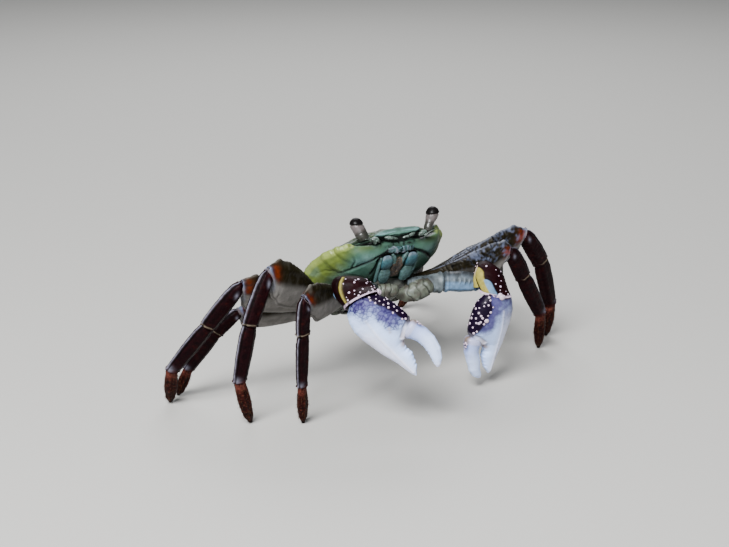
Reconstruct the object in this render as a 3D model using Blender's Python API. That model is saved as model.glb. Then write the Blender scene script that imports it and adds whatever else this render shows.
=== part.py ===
"""A life-size purple rock crab, Leptograpsus variegatus, standing with its front raised.

The crab faces -Y, its left is +X, and the floor is z = 0. Lengths are given as shares
of the carapace width and are scaled to metres when a mesh is made. Each shell piece
that a person would name is one closed solid, and neighbours keep a thin gap.
"""

import math

import bmesh
import bpy
from mathutils import Matrix, Vector

# Driving sizes.
CARAPACE_WIDTH = 0.050
GAP = 0.0004 / CARAPACE_WIDTH
JOINT_GAP = GAP / 2.0
JOINT_GAP_STEP = 0.4 * GAP
BODY_HEIGHT = 0.86
BODY_PITCH = math.radians(37.0)
BODY_ROLL = math.radians(3.5)
FLOOR_CENTRE = Vector((0.1048, -0.0427, 0.0))

# Corners round a section.
BODY_SIDES = 28
LIMB_SIDES = 12
CLAW_SIDES = 14
SMALL_SIDES = 10
EYE_SIDES = 12
STERNUM_SIDES = 20

# The carapace from front to rear: place along the body, half width, height of the
# side margin, height of the back, depth of the underside.
CARAPACE_STATIONS = (
    (-0.444, 0.212, 0.012, 0.030, -0.004),
    (-0.424, 0.220, 0.006, 0.040, -0.040),
    (-0.396, 0.236, -0.002, 0.048, -0.086),
    (-0.366, 0.360, 0.016, 0.054, -0.122),
    (-0.340, 0.398, 0.024, 0.058, -0.142),
    (-0.314, 0.434, 0.034, 0.064, -0.158),
    (-0.290, 0.424, 0.026, 0.068, -0.172),
    (-0.219, 0.466, 0.036, 0.078, -0.196),
    (-0.190, 0.460, 0.026, 0.080, -0.198),
    (-0.110, 0.490, 0.014, 0.086, -0.200),
    (-0.020, 0.500, 0.000, 0.088, -0.200),
    (0.070, 0.486, -0.026, 0.084, -0.200),
    (0.150, 0.456, -0.050, 0.076, -0.200),
    (0.250, 0.394, -0.058, 0.062, -0.190),
    (0.340, 0.318, -0.058, 0.042, -0.170),
    (0.410, 0.240, -0.052, 0.014, -0.140),
    (0.440, 0.170, -0.048, -0.020, -0.100),
)
ORBIT_TOOTH = Vector((0.378, -0.408, 0.035))
ORBIT_STATION = 3
CHEEK_BULGE = 0.028
CHEEK_REACH = 0.030
FLANK_TUCK = 0.18

# The thoracic sternum: place, half width, top, bottom.
STERNUM_STATIONS = (
    (-0.150, 0.100, -0.208, -0.268),
    (-0.105, 0.186, -0.208, -0.284),
    (0.000, 0.232, -0.208, -0.290),
    (0.130, 0.226, -0.208, -0.288),
    (0.230, 0.172, -0.206, -0.272),
    (0.310, 0.125, -0.196, -0.244),
    (0.380, 0.080, -0.176, -0.204),
)
# The folded abdomen: place, half width, height of its middle.
ABDOMEN_STATIONS = (
    (-0.090, 0.018, -0.304),
    (0.000, 0.040, -0.309),
    (0.130, 0.056, -0.306),
    (0.240, 0.086, -0.288),
    (0.325, 0.128, -0.258),
    (0.395, 0.150, -0.216),
    (0.452, 0.150, -0.150),
)
ABDOMEN_HALF_THICKNESS = 0.014

# Walking legs. Hips are in the body's frame for the crab's left side.
HIPS = {
    2: Vector((0.235, -0.12, -0.240)),
    3: Vector((0.265, 0.02, -0.246)),
    4: Vector((0.255, 0.15, -0.240)),
    5: Vector((0.200, 0.27, -0.228)),
}
SEGMENTS = ("merus", "carpus", "propodus", "dactyl")
# Each leg: heading forward from straight sideways, lean of the plane it bends in, the
# slopes of its four segments in that plane, and the lengths of the first three.
LEG_POSES = {
    ("right", 2): (24, -7, (11, -98, -99, -103), (0.75, 0.24, 0.38)),
    ("right", 3): (10, -8, (26, -69, -83, -112), (0.84, 0.35, 0.38)),
    ("right", 4): (-8, -28, (24, -64, -63, -98), (0.86, 0.37, 0.41)),
    ("right", 5): (-10, -26, (10, -50, -64, -81), (0.73, 0.22, 0.34)),
    ("left", 2): (17, -20, (13, -59, -60, -81), (0.70, 0.30, 0.41)),
    ("left", 3): (10, -18, (19, -52, -66, -84), (0.92, 0.35, 0.44)),
    ("left", 4): (-9, -32, (13, -36, -54, -83), (0.83, 0.38, 0.46)),
    ("left", 5): (-32, -30, (7, -30, -48, -80), (0.67, 0.32, 0.40)),
}
# Sections of a leg segment: share of its length, half widths on the outer and inner
# side of the bend, and half thickness, for the broad third and fourth legs.
LEG_SECTIONS = {
    "merus": (
        (0.00, 0.042, 0.042, 0.038),
        (0.12, 0.042, 0.048, 0.041),
        (0.27, 0.042, 0.086, 0.047),
        (0.46, 0.056, 0.134, 0.052),
        (0.66, 0.090, 0.164, 0.052),
        (0.83, 0.112, 0.170, 0.048),
        (0.93, 0.096, 0.136, 0.042),
        (1.00, 0.046, 0.058, 0.036),
    ),
    "carpus": (
        (0.00, 0.040, 0.052, 0.036),
        (0.22, 0.064, 0.054, 0.040),
        (0.60, 0.070, 0.060, 0.042),
        (0.90, 0.064, 0.062, 0.040),
        (1.00, 0.052, 0.056, 0.034),
    ),
    "propodus": (
        (0.00, 0.050, 0.054, 0.034),
        (0.15, 0.062, 0.060, 0.038),
        (0.50, 0.062, 0.060, 0.038),
        (0.88, 0.052, 0.052, 0.034),
        (1.00, 0.044, 0.042, 0.030),
    ),
    "dactyl": (
        (0.00, 0.042, 0.040, 0.028),
        (0.20, 0.046, 0.042, 0.030),
        (0.55, 0.038, 0.034, 0.026),
        (0.85, 0.024, 0.022, 0.018),
        (1.00, 0.012, 0.012, 0.010),
    ),
}
LEG_SCALE = {2: 0.90, 3: 1.00, 4: 1.00, 5: 0.84}

# Chelipeds: base in the body's frame, then the way each segment points and the way its
# upper side faces, in the world, the lengths of the first two segments, and how far in
# degrees the movable finger is closed.
CLAW_HIP = Vector((0.150, -0.175, -0.272))
CLAW_POSES = {
    "right": {
        "merus": (Vector((-0.85, -0.46, 0.26)), Vector((0.0, 0.0, 1.0))),
        "carpus": (Vector((-0.22, -0.97, -0.02)), Vector((-0.3, 0.0, 1.0))),
        "palm": (Vector((0.52, -0.46, -0.72)), Vector((0.50, -0.45, 0.75))),
    },
    "left": {
        "merus": (Vector((0.90, -0.42, -0.10)), Vector((0.0, 0.0, 1.0))),
        "carpus": (Vector((-0.08, -0.99, 0.13)), Vector((0.3, 0.0, 1.0))),
        "palm": (Vector((-0.10, 0.13, -1.00)), Vector((-1.0, 0.1, 0.1))),
    },
}
CLAW_LENGTHS = {"right": (0.51, 0.17), "left": (0.49, 0.20)}
FINGER_CLOSED = {"right": 0.0, "left": 16.0}
CLAW_SECTIONS = {
    "merus": (
        (0.00, 0.038, 0.040, 0.038),
        (0.10, 0.046, 0.048, 0.046),
        (0.24, 0.056, 0.056, 0.054),
        (0.42, 0.078, 0.070, 0.064),
        (0.70, 0.094, 0.080, 0.070),
        (0.90, 0.082, 0.072, 0.066),
        (1.00, 0.060, 0.056, 0.058),
    ),
    "carpus": (
        (0.00, 0.060, 0.058, 0.060),
        (0.22, 0.096, 0.080, 0.090),
        (0.55, 0.112, 0.092, 0.106),
        (0.85, 0.096, 0.086, 0.094),
        (1.00, 0.066, 0.066, 0.070),
    ),
}
# The palm with its fixed finger: distance from the wrist, lower edge, upper edge, half
# thickness.
PALM_STATIONS = (
    (-0.040, -0.052, 0.050, 0.052),
    (0.000, -0.102, 0.104, 0.070),
    (0.060, -0.132, 0.145, 0.082),
    (0.125, -0.150, 0.168, 0.088),
    (0.205, -0.147, 0.182, 0.088),
    (0.285, -0.135, 0.186, 0.080),
    (0.328, -0.126, 0.116, 0.072),
    (0.368, -0.118, 0.050, 0.062),
    (0.425, -0.102, 0.020, 0.052),
    (0.475, -0.091, 0.028, 0.045),
    (0.535, -0.082, 0.000, 0.038),
    (0.585, -0.074, -0.026, 0.028),
    (0.610, -0.064, -0.046, 0.014),
)
WRIST_REACH = 0.030
CLAW_SCALE = 0.97
HINGE_MIDDLE = Vector((0.329, 0.118))
FINGER_LENGTH = 0.345
FINGER_HEADINGS = (31.0, -46.0)
FINGER_HINGE_SHARE = 0.2
FINGER_HINGE_GAP = 1.6 * GAP
FINGER_SECTIONS = (
    (0.00, 0.066, 0.058),
    (0.12, 0.058, 0.054),
    (0.28, 0.052, 0.049),
    (0.46, 0.049, 0.043),
    (0.66, 0.044, 0.038),
    (0.84, 0.034, 0.031),
    (0.95, 0.022, 0.022),
    (1.00, 0.010, 0.012),
)

# Eyes: base in the body's frame and the way the stalk points there.
EYE_BASE = Vector((0.270, -0.412, 0.022))
STALK_DIRECTIONS = {"right": Vector((-0.24, -0.07, 0.97)), "left": Vector((0.47, -0.37, 0.80))}
STALK_SECTIONS = ((0.000, 0.020), (0.020, 0.029), (0.050, 0.034), (0.082, 0.040), (0.100, 0.041))
CORNEA_SECTIONS = ((0.108, 0.041), (0.124, 0.040), (0.140, 0.034), (0.152, 0.022), (0.158, 0.008))

# Mouth and feelers, in the body's frame for the left side: points and half widths.
MAXILLIPED_STATIONS = (
    (Vector((0.112, -0.372, -0.146)), 0.034),
    (Vector((0.106, -0.330, -0.178)), 0.056),
    (Vector((0.098, -0.285, -0.204)), 0.056),
    (Vector((0.086, -0.238, -0.232)), 0.050),
    (Vector((0.076, -0.205, -0.250)), 0.032),
)
MAXILLIPED_HALF_THICKNESS = 0.018
ANTENNA_PATH = (
    (Vector((0.206, -0.436, -0.046)), 0.014),
    (Vector((0.216, -0.450, -0.040)), 0.012),
    (Vector((0.240, -0.466, -0.030)), 0.0070),
    (Vector((0.280, -0.480, -0.016)), 0.0060),
    (Vector((0.325, -0.488, 0.000)), 0.0055),
)
ANTENNULE_PATH = (
    (Vector((0.030, -0.446, -0.040)), 0.010),
    (Vector((0.050, -0.456, -0.036)), 0.016),
    (Vector((0.090, -0.458, -0.034)), 0.017),
    (Vector((0.130, -0.452, -0.036)), 0.010),
)

COLOURS = {
    "carapace": (0.30, 0.40, 0.20),
    "sternum": (0.50, 0.50, 0.42),
    "abdomen": (0.52, 0.50, 0.40),
    "mouth": (0.30, 0.45, 0.42),
    "stalk": (0.55, 0.52, 0.44),
    "cornea": (0.03, 0.03, 0.03),
    "feeler": (0.20, 0.24, 0.18),
    "merus": (0.20, 0.17, 0.13),
    "carpus": (0.07, 0.03, 0.05),
    "propodus": (0.06, 0.03, 0.05),
    "dactyl": (0.36, 0.08, 0.04),
    "claw_merus": (0.42, 0.48, 0.52),
    "claw_carpus": (0.12, 0.02, 0.04),
    "claw_palm": (0.70, 0.74, 0.86),
    "claw_finger": (0.82, 0.84, 0.92),
}
SHELL_ROUGHNESS = 0.38
CORNEA_ROUGHNESS = 0.12
SHARP_EDGE = math.radians(50.0)


def clear_scene():
    """Remove what is in the scene."""
    for item in list(bpy.data.objects):
        bpy.data.objects.remove(item, do_unlink=True)


def body_matrix():
    """Return the frame of the carapace in the world, in carapace widths."""
    turn = Matrix.Rotation(-BODY_PITCH, 4, "X") @ Matrix.Rotation(BODY_ROLL, 4, "Y")
    return Matrix.Translation((0.0, 0.0, BODY_HEIGHT)) @ turn


BODY = body_matrix()


def side_sign(side):
    """Return +1 for the crab's left and -1 for its right."""
    return 1.0 if side == "left" else -1.0


def mirrored(point, side):
    """Return a point given for the left side on the side asked for."""
    return Vector((point.x * side_sign(side), point.y, point.z))


def rounded(value, power):
    """Return a sine or cosine bent towards a squarer or a sharper section."""
    return math.copysign(abs(value) ** power, value)


def oval(centre, across, upward, half_width, above, below, sides, power=0.9):
    """Return one closed section, with its own reach above and below its centre."""
    points = []
    for step in range(sides):
        angle = 2.0 * math.pi * step / sides
        rise = rounded(math.sin(angle), power)
        spread = rounded(math.cos(angle), power)
        reach = above if rise > 0.0 else below
        points.append(centre + across * (half_width * spread) + upward * (reach * rise))
    return points


def material(name, colour):
    """Return a plain shell material."""
    made = bpy.data.materials.new(name)
    made.use_nodes = True
    shader = made.node_tree.nodes["Principled BSDF"]
    shader.inputs["Base Color"].default_value = (*colour, 1.0)
    shader.inputs["Metallic"].default_value = 0.0
    glossy = name.startswith("cornea")
    shader.inputs["Roughness"].default_value = CORNEA_ROUGHNESS if glossy else SHELL_ROUGHNESS
    return made


def loft(name, sections, colour, collection):
    """Join closed sections into one capped solid, named and coloured."""
    mesh = bpy.data.meshes.new(name)
    shape = bmesh.new()
    rings = []
    for section in sections:
        places = [(point - FLOOR_CENTRE) * CARAPACE_WIDTH for point in section]
        rings.append([shape.verts.new(place) for place in places])
    sides = len(rings[0])
    for ring, following in zip(rings, rings[1:]):
        for index in range(sides):
            after = (index + 1) % sides
            shape.faces.new((ring[index], ring[after], following[after], following[index]))
    shape.faces.new(rings[0])
    shape.faces.new(rings[-1])
    bmesh.ops.recalc_face_normals(shape, faces=shape.faces)
    shape.to_mesh(mesh)
    shape.free()
    mesh.shade_smooth()
    mesh.set_sharp_from_angle(angle=SHARP_EDGE)
    mesh.materials.append(material(name, colour))
    made = bpy.data.objects.new(name, mesh)
    collection.objects.link(made)
    return made


def in_world(section):
    """Carry a section from the body's frame to the world."""
    return [BODY @ point for point in section]


def carapace_section(station):
    """Return a carapace section: low back, sharp side margin, full flanks, flat floor."""
    place, half_width, margin, back, underside = station
    orbit = CARAPACE_STATIONS[ORBIT_STATION][0]
    points = []
    for step in range(BODY_SIDES):
        angle = 2.0 * math.pi * step / BODY_SIDES
        spread = math.cos(angle)
        rise = math.sin(angle)
        forward = 0.0
        if rise >= 0.0:
            height = margin + (back - margin) * rise ** 1.1
            across = half_width * rounded(spread, 0.9)
        else:
            height = margin + (underside - margin) * (-rise) ** 0.8
            across = half_width * rounded(spread, 0.5) * (1.0 + FLANK_TUCK * rise)
            if abs(place - orbit) < CHEEK_REACH:
                forward = CHEEK_BULGE * math.sin(2.0 * angle) ** 2
        points.append(Vector((across, place - forward, height)))
    if place == orbit:
        points[0] = ORBIT_TOOTH.copy()
        points[BODY_SIDES // 2] = mirrored(ORBIT_TOOTH, "right")
    return points


def build_body(parts):
    """Make the carapace, the sternum and the folded abdomen."""
    forward = Vector((1.0, 0.0, 0.0))
    upward = Vector((0.0, 0.0, 1.0))
    shell = [in_world(carapace_section(station)) for station in CARAPACE_STATIONS]
    loft("carapace", shell, COLOURS["carapace"], parts)
    plate = []
    for place, half_width, top, bottom in STERNUM_STATIONS:
        middle = Vector((0.0, place, 0.5 * (top + bottom)))
        reach = 0.5 * (top - bottom)
        section = oval(middle, forward, upward, half_width, reach, reach, STERNUM_SIDES, 0.55)
        plate.append(in_world(section))
    loft("sternum", plate, COLOURS["sternum"], parts)
    flap = []
    thick = ABDOMEN_HALF_THICKNESS
    for place, half_width, height in ABDOMEN_STATIONS:
        middle = Vector((0.0, place, height))
        section = oval(middle, forward, upward, half_width, thick, thick, SMALL_SIDES, 0.7)
        flap.append(in_world(section))
    loft("abdomen", flap, COLOURS["abdomen"], parts)


def build_path(name, path, side, flat, colour, parts):
    """Make a small part along points of the body's frame, as wide as each point says."""
    sections = []
    across = Vector((1.0, 0.0, 0.0))
    for index, (point, half_width) in enumerate(path):
        before = path[max(index - 1, 0)][0]
        after = path[min(index + 1, len(path) - 1)][0]
        along = (after - before).normalized()
        if abs(along.dot(across)) > 0.7:
            across = Vector((0.0, 0.0, 1.0))
        wide = (across - along * across.dot(along)).normalized()
        thin = along.cross(wide).normalized()
        thick = flat if flat else half_width
        section = oval(point, wide, thin, half_width, thick, thick, SMALL_SIDES)
        sections.append(in_world([mirrored(corner, side) for corner in section]))
    loft(name, sections, colour, parts)


def build_head(parts):
    """Make the eyes on their stalks, the mouthparts and the feelers."""
    for side in ("left", "right"):
        flat = MAXILLIPED_HALF_THICKNESS
        name = f"maxilliped_{side}"
        build_path(name, MAXILLIPED_STATIONS, side, flat, COLOURS["mouth"], parts)
        build_path(f"antenna_{side}", ANTENNA_PATH, side, 0.0, COLOURS["feeler"], parts)
        build_path(f"antennule_{side}", ANTENNULE_PATH, side, 0.0, COLOURS["feeler"], parts)
        base = mirrored(EYE_BASE, side)
        along = STALK_DIRECTIONS[side].normalized()
        across = along.orthogonal().normalized()
        upward = along.cross(across)
        for name, steps in (("eyestalk", STALK_SECTIONS), ("cornea", CORNEA_SECTIONS)):
            sections = []
            for reach, radius in steps:
                middle = base + along * reach
                section = oval(middle, across, upward, radius, radius, radius, EYE_SIDES, 1.0)
                sections.append(in_world(section))
            colour = COLOURS["stalk" if name == "eyestalk" else "cornea"]
            loft(f"{name}_{side}", sections, colour, parts)


def seated(point, along, plane_point, plane_normal, clearance):
    """Slide a point along its segment to a set distance from a joint's plane."""
    short = clearance - (point - plane_point).dot(plane_normal)
    return point + along * (short / along.dot(plane_normal))


def trimmed(point, along, plane_point, plane_normal, clearance):
    """Slide a point along its segment until it clears a joint's plane."""
    if (point - plane_point).dot(plane_normal) >= clearance:
        return point
    return seated(point, along, plane_point, plane_normal, clearance)


def segment_sections(start, end, outer, sections, scale, planes, sides, power=0.9):
    """Return the sections of one limb segment, trimmed at the joints at its ends."""
    along = (end - start).normalized()
    upward = (outer - along * outer.dot(along)).normalized()
    across = along.cross(upward)
    first_normal, last_normal = planes
    rings = []
    for index, (share, above, below, thick) in enumerate(sections):
        middle = start.lerp(end, share)
        thick, above, below = thick * scale, above * scale, below * scale
        ring = oval(middle, across, upward, thick, above, below, sides, power)
        at_end = index == len(sections) - 1
        for corner, point in enumerate(ring):
            if index == 0:
                point = seated(point, along, start, first_normal, JOINT_GAP)
            else:
                start_gap = JOINT_GAP + JOINT_GAP_STEP * index
                point = trimmed(point, along, start, first_normal, start_gap)
            if at_end:
                point = seated(point, -along, end, -last_normal, JOINT_GAP)
            else:
                end_gap = JOINT_GAP + JOINT_GAP_STEP * (len(sections) - 1 - index)
                point = trimmed(point, -along, end, -last_normal, end_gap)
            ring[corner] = point
        rings.append(ring)
    return rings


def joint_normals(directions):
    """Return the normals of the planes between segments that point these ways."""
    normals = [directions[0]]
    for before, after in zip(directions, directions[1:]):
        normals.append((before + after).normalized())
    normals.append(directions[-1])
    return normals


def leg_joints(side, number):
    """Return a leg's joints from hip to tip, and the outward side of its bend."""
    heading, lean, slopes, lengths = LEG_POSES[side, number]
    heading, lean = math.radians(heading), math.radians(lean)
    sign = side_sign(side)
    outward = Vector((sign * math.cos(heading), -math.sin(heading), 0.0))
    rearward = Vector((sign * math.sin(heading), math.cos(heading), 0.0))
    upward = Vector((0.0, 0.0, math.cos(lean))) + rearward * math.sin(lean)
    joints = [BODY @ mirrored(HIPS[number], side)]
    directions = []
    for index, slope in enumerate(slopes):
        slope = math.radians(slope)
        direction = outward * math.cos(slope) + upward * math.sin(slope)
        length = lengths[index] if index < len(lengths) else joints[-1].z / -direction.z
        joints.append(joints[-1] + direction * length)
        directions.append(direction)
    return joints, directions, outward.cross(upward)


def build_leg(side, number, parts):
    """Make the four segments of a walking leg, its tip flat on the floor."""
    joints, directions, normal = leg_joints(side, number)
    normals = joint_normals(directions)
    normals[-1] = Vector((0.0, 0.0, -1.0))
    scale = LEG_SCALE[number]
    for index, name in enumerate(SEGMENTS):
        outer = normal.cross(directions[index])
        planes = (normals[index], normals[index + 1])
        start, end = joints[index], joints[index + 1]
        if name == "dactyl":
            end = end - Vector((0.0, 0.0, JOINT_GAP))
        rings = segment_sections(start, end, outer, LEG_SECTIONS[name], scale, planes, LIMB_SIDES)
        loft(f"leg{number}_{name}_{side}", rings, COLOURS[name], parts)


def claw_frame(side):
    """Return the wrist, and the claw's forward, upper and outer directions."""
    pose = CLAW_POSES[side]
    joints = [BODY @ mirrored(CLAW_HIP, side)]
    for name, length in zip(("merus", "carpus"), CLAW_LENGTHS[side]):
        joints.append(joints[-1] + pose[name][0].normalized() * length)
    along = pose["palm"][0].normalized()
    upward = pose["palm"][1]
    upward = (upward - along * upward.dot(along)).normalized()
    return joints, along, upward, along.cross(upward)


def build_palm(side, parts, wrist, frame, wrist_normal):
    """Make the palm with its fixed finger."""
    along, upward, across = frame
    origin = wrist + along * WRIST_REACH
    rings = []
    for index, (reach, lower, upper, thick) in enumerate(PALM_STATIONS):
        centre = 0.5 * (lower + upper) * CLAW_SCALE
        half = 0.5 * (upper - lower) * CLAW_SCALE
        middle = origin + along * (reach * CLAW_SCALE) + upward * centre
        ring = oval(middle, across, upward, thick * CLAW_SCALE, half, half, CLAW_SIDES)
        gap = JOINT_GAP + JOINT_GAP_STEP * index
        ring = [trimmed(point, along, wrist, wrist_normal, gap) for point in ring]
        rings.append(ring)
    loft(f"claw_palm_{side}", rings, COLOURS["claw_palm"], parts)


def heading_vector(angle):
    """Return the unit vector that points this way in a claw's own plane."""
    return Vector((math.cos(angle), math.sin(angle)))


def build_finger(side, parts, wrist, frame):
    """Make the movable finger, an arc that starts square to its slanted hinge."""
    along, upward, across = frame
    origin = wrist + along * WRIST_REACH
    first, last = FINGER_HEADINGS
    place = HINGE_MIDDLE + heading_vector(math.radians(first)) * FINGER_HINGE_GAP
    rings = []
    previous = 0.0
    for share, half_height, thick in FINGER_SECTIONS:
        middle_share = 0.5 * (share + previous)
        for at, step in ((middle_share, share - previous), (share, 0.0)):
            closed = FINGER_CLOSED[side] * min(1.0, at / FINGER_HINGE_SHARE)
            heading = math.radians(first + (last - first) * at - closed)
            place = place + heading_vector(heading) * (step * FINGER_LENGTH)
        previous = share
        middle = origin + (along * place.x + upward * place.y) * CLAW_SCALE
        outer = upward * math.cos(heading) - along * math.sin(heading)
        half, thick = half_height * CLAW_SCALE, thick * CLAW_SCALE
        rings.append(oval(middle, across, outer, thick, half, half, CLAW_SIDES))
    loft(f"claw_finger_{side}", rings, COLOURS["claw_finger"], parts)


def build_cheliped(side, parts):
    """Make a cheliped: merus, carpus, palm with fixed finger, and movable finger."""
    joints, along, upward, across = claw_frame(side)
    first = (joints[1] - joints[0]).normalized()
    second = (joints[2] - joints[1]).normalized()
    normals = joint_normals([first, second, along])
    for index, name in enumerate(("merus", "carpus")):
        outer = CLAW_POSES[side][name][1]
        planes = (normals[index], normals[index + 1])
        start, end = joints[index], joints[index + 1]
        rings = segment_sections(start, end, outer, CLAW_SECTIONS[name], 1.0, planes, CLAW_SIDES)
        loft(f"claw_{name}_{side}", rings, COLOURS[f"claw_{name}"], parts)
    frame = (along, upward, across)
    build_palm(side, parts, joints[2], frame, normals[2])
    build_finger(side, parts, joints[2], frame)


def main():
    """Build the crab."""
    clear_scene()
    parts = bpy.data.collections.new("purple_rock_crab")
    bpy.context.scene.collection.children.link(parts)
    build_body(parts)
    build_head(parts)
    for side in ("left", "right"):
        build_cheliped(side, parts)
        for number in HIPS:
            build_leg(side, number, parts)


main()
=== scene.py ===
"""The finish of a life-size purple rock crab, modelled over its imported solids.

Lengths are shares of the carapace width, which is read from the frame. The body's own
frame has x to the crab's left, y to its rear and z to its back. Most shell pieces start
as rings cast onto their solid from the inside, so they keep that solid's outline. The
wrists, eyes, mouthparts, feelers and limb roots start as rings round a line. All are then
carved: ridges, furrows and teeth are lifts along the normals. Tubercles and bristles are
pieces of their own.
"""

import math

import bmesh
import bpy
import numpy as np
from mathutils import Matrix, Vector, noise
from mathutils.bvhtree import BVHTree


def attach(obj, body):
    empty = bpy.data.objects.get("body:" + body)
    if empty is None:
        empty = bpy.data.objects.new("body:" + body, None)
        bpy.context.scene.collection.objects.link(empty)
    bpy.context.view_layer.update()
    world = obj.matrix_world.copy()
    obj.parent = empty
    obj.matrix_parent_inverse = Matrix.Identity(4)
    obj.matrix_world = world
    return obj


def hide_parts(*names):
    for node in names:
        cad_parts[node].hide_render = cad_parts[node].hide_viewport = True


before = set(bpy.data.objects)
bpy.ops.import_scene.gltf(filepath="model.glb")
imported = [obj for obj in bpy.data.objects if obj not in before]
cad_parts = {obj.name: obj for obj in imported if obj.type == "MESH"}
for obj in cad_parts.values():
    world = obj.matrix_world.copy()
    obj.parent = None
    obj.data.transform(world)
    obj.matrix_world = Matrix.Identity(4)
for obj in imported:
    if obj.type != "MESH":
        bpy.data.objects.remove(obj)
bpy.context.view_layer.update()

bl_info = {
    "name": "Purple Rock Crab Finish",
    "version": (1, 0, 0),
    "blender": (4, 5, 0),
    "location": "View3D > Sidebar > Crab",
    "description": "Builds the shell, eyes, pincers and bristles of a rock crab over its solids",
    "category": "Object",
}

SIDES = ("left", "right")
LEGS = (2, 3, 4, 5)
SEGMENTS = ("merus", "carpus", "propodus", "dactyl")

# How the body stands, and the middle of the carapace in the body's frame.
BODY_PITCH = math.radians(37.0)
BODY_ROLL = math.radians(3.5)
CARAPACE_MIDDLE = np.array((0.0, -0.002, -0.056))

# The pincers: the way each palm points and its upper side faces, and where the
# tip of the fixed finger and the lower and upper edges lie in its own frame.
PALM_WAYS = {
    "right": (np.array((0.52, -0.46, -0.72)), np.array((0.50, -0.45, 0.75))),
    "left": (np.array((-0.10, 0.13, -1.00)), np.array((-1.0, 0.1, 0.1))),
}
PALM_START, PALM_TIP = -0.022, 0.592
PALM_EDGES = (-0.1455, 0.1804)

# Rings that are closer than this, in metres, are welded, as at a seam or a pole.
WELD = 1e-7
# Rounds of smoothing that hide a solid's facets on 96 sides, and what they shrink given back.
FACET_SMOOTHING = 34
FACET_SWELL = 1.012
# How far each limb piece stands back from its joints, as a share of the carapace width.
JOINT_INSET = 0.006
# How near a joint a limb piece starts to turn into that joint's plane.
JOINT_BLEND = 0.16
# The height of a tubercle as a share of its radius.
STUD_HEIGHT = 0.55
# Rings and sides of the large pieces.
DETAIL = {"carapace": (236, 392), "sternum": (150, 160), "abdomen": (150, 110), "arm": (140, 96),
          "wrist": (150, 150), "palm": (230, 160), "finger": (150, 90), "eye": (110, 80)}
# Bristle tips stay this far above the floor, and each bristle has a patch of this radius on
# the unwrapped skin.
BRISTLE_FLOOR = 0.0003
BRISTLE_PATCH = 0.0015
BRISTLES_PER_LEG = 170


def linear(code):
    """Return an sRGB hex colour as linear red, green and blue."""
    values = [int(code[at : at + 2], 16) / 255.0 for at in (1, 3, 5)]
    return tuple(v / 12.92 if v <= 0.04045 else ((v + 0.055) / 1.055) ** 2.4 for v in values)


def unit(vector):
    """Return a vector at length one."""
    return np.asarray(vector, float) / np.linalg.norm(vector)


def ramp(values, low, high):
    """Return 0 below low, 1 above high, and a smooth step between."""
    share = np.clip((np.asarray(values, float) - low) / (high - low), 0.0, 1.0)
    return share * share * (3.0 - 2.0 * share)


def hump(values, middle, width):
    """Return 1 at the middle and less on both sides."""
    return np.exp(-(((np.asarray(values, float) - middle) / width) ** 2))


def shares(count):
    """Return even steps from 0 to 1."""
    return np.linspace(0.0, 1.0, count)


def node_points(name):
    """Return the points of a solid, in metres."""
    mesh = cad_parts[name].data
    points = np.zeros(len(mesh.vertices) * 3)
    mesh.vertices.foreach_get("co", points)
    return points.reshape(-1, 3)


def body_frame():
    """Return the body's turn, origin and carapace width, read from the carapace solid."""
    turn = Matrix.Rotation(-BODY_PITCH, 3, "X") @ Matrix.Rotation(BODY_ROLL, 3, "Y")
    turn = np.array(turn)
    own = node_points("carapace") @ turn
    low, high = own.min(0), own.max(0)
    width = high[0] - low[0]
    return turn, turn @ (0.5 * (low + high) - width * CARAPACE_MIDDLE), width


TURN, ORIGIN, WIDTH = body_frame()


def to_body(points):
    """Return points in metres in the body's frame."""
    return (points - ORIGIN) @ TURN / WIDTH


def from_body(points):
    """Return points of the body's frame in metres."""
    return ORIGIN + WIDTH * points @ TURN.T


def in_metres(points):
    """Return points that are turned as the world is, in metres."""
    return points * WIDTH


def tree_of(name, points):
    """Return a search tree over a solid whose points are given in some frame."""
    faces = [tuple(face.vertices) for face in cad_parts[name].data.polygons]
    return BVHTree.FromPolygons([Vector(point) for point in points], faces)


def softened(field, rounds, axis, closed):
    """Return a field smoothed along one axis."""
    for _ in range(rounds):
        if closed:
            before, after = np.roll(field, 1, axis), np.roll(field, -1, axis)
        else:
            before = np.concatenate((field[:1], field[:-1]))
            after = np.concatenate((field[1:], field[-1:]))
        field = 0.25 * before + 0.5 * field + 0.25 * after
    return field


def round_angles(sides):
    """Return even angles round a ring, in radians."""
    return 2.0 * np.pi * np.arange(sides) / sides


def cast(tree, centres, ways, along_rounds):
    """Return rings of points on a solid, seen from each ring's centre along its ways."""
    rings, sides = ways.shape[:2]
    reach = np.full((rings, sides), np.nan)
    for ring, centre in enumerate(centres):
        for side in range(sides):
            way = Vector(ways[ring, side])
            found = tree.ray_cast(Vector(centre), way)
            if found[0] is not None:
                reach[ring, side] = found[3] / way.length
    for ring in range(rings):
        missing = np.isnan(reach[ring])
        if missing.any():
            usual = reach[ring - 1] if ring else np.full(sides, np.nanmedian(reach))
            reach[ring][missing] = usual[missing]
    rounds = int(FACET_SMOOTHING * (sides / 96.0) ** 2)
    reach = softened(softened(reach, rounds, 1, True), along_rounds, 0, False) * FACET_SWELL
    return np.asarray(centres)[:, None, :] + ways * reach[..., None]


def cast_rings(tree, centres, normals, across, upward, sides, aspect, along_rounds=2):
    """Return rings of points on a solid, each in the plane through its centre with its normal.

    The aspect is the width and height that the directions are spread over.
    """
    angles = round_angles(sides)
    flat = np.outer(aspect[0] * np.cos(angles), across)
    flat = flat + np.outer(aspect[1] * np.sin(angles), upward)
    along = np.cross(upward, across)
    ways = [flat - np.outer((flat @ normal) / (along @ normal), along) for normal in normals]
    return cast(tree, centres, np.array(ways), along_rounds)


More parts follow.
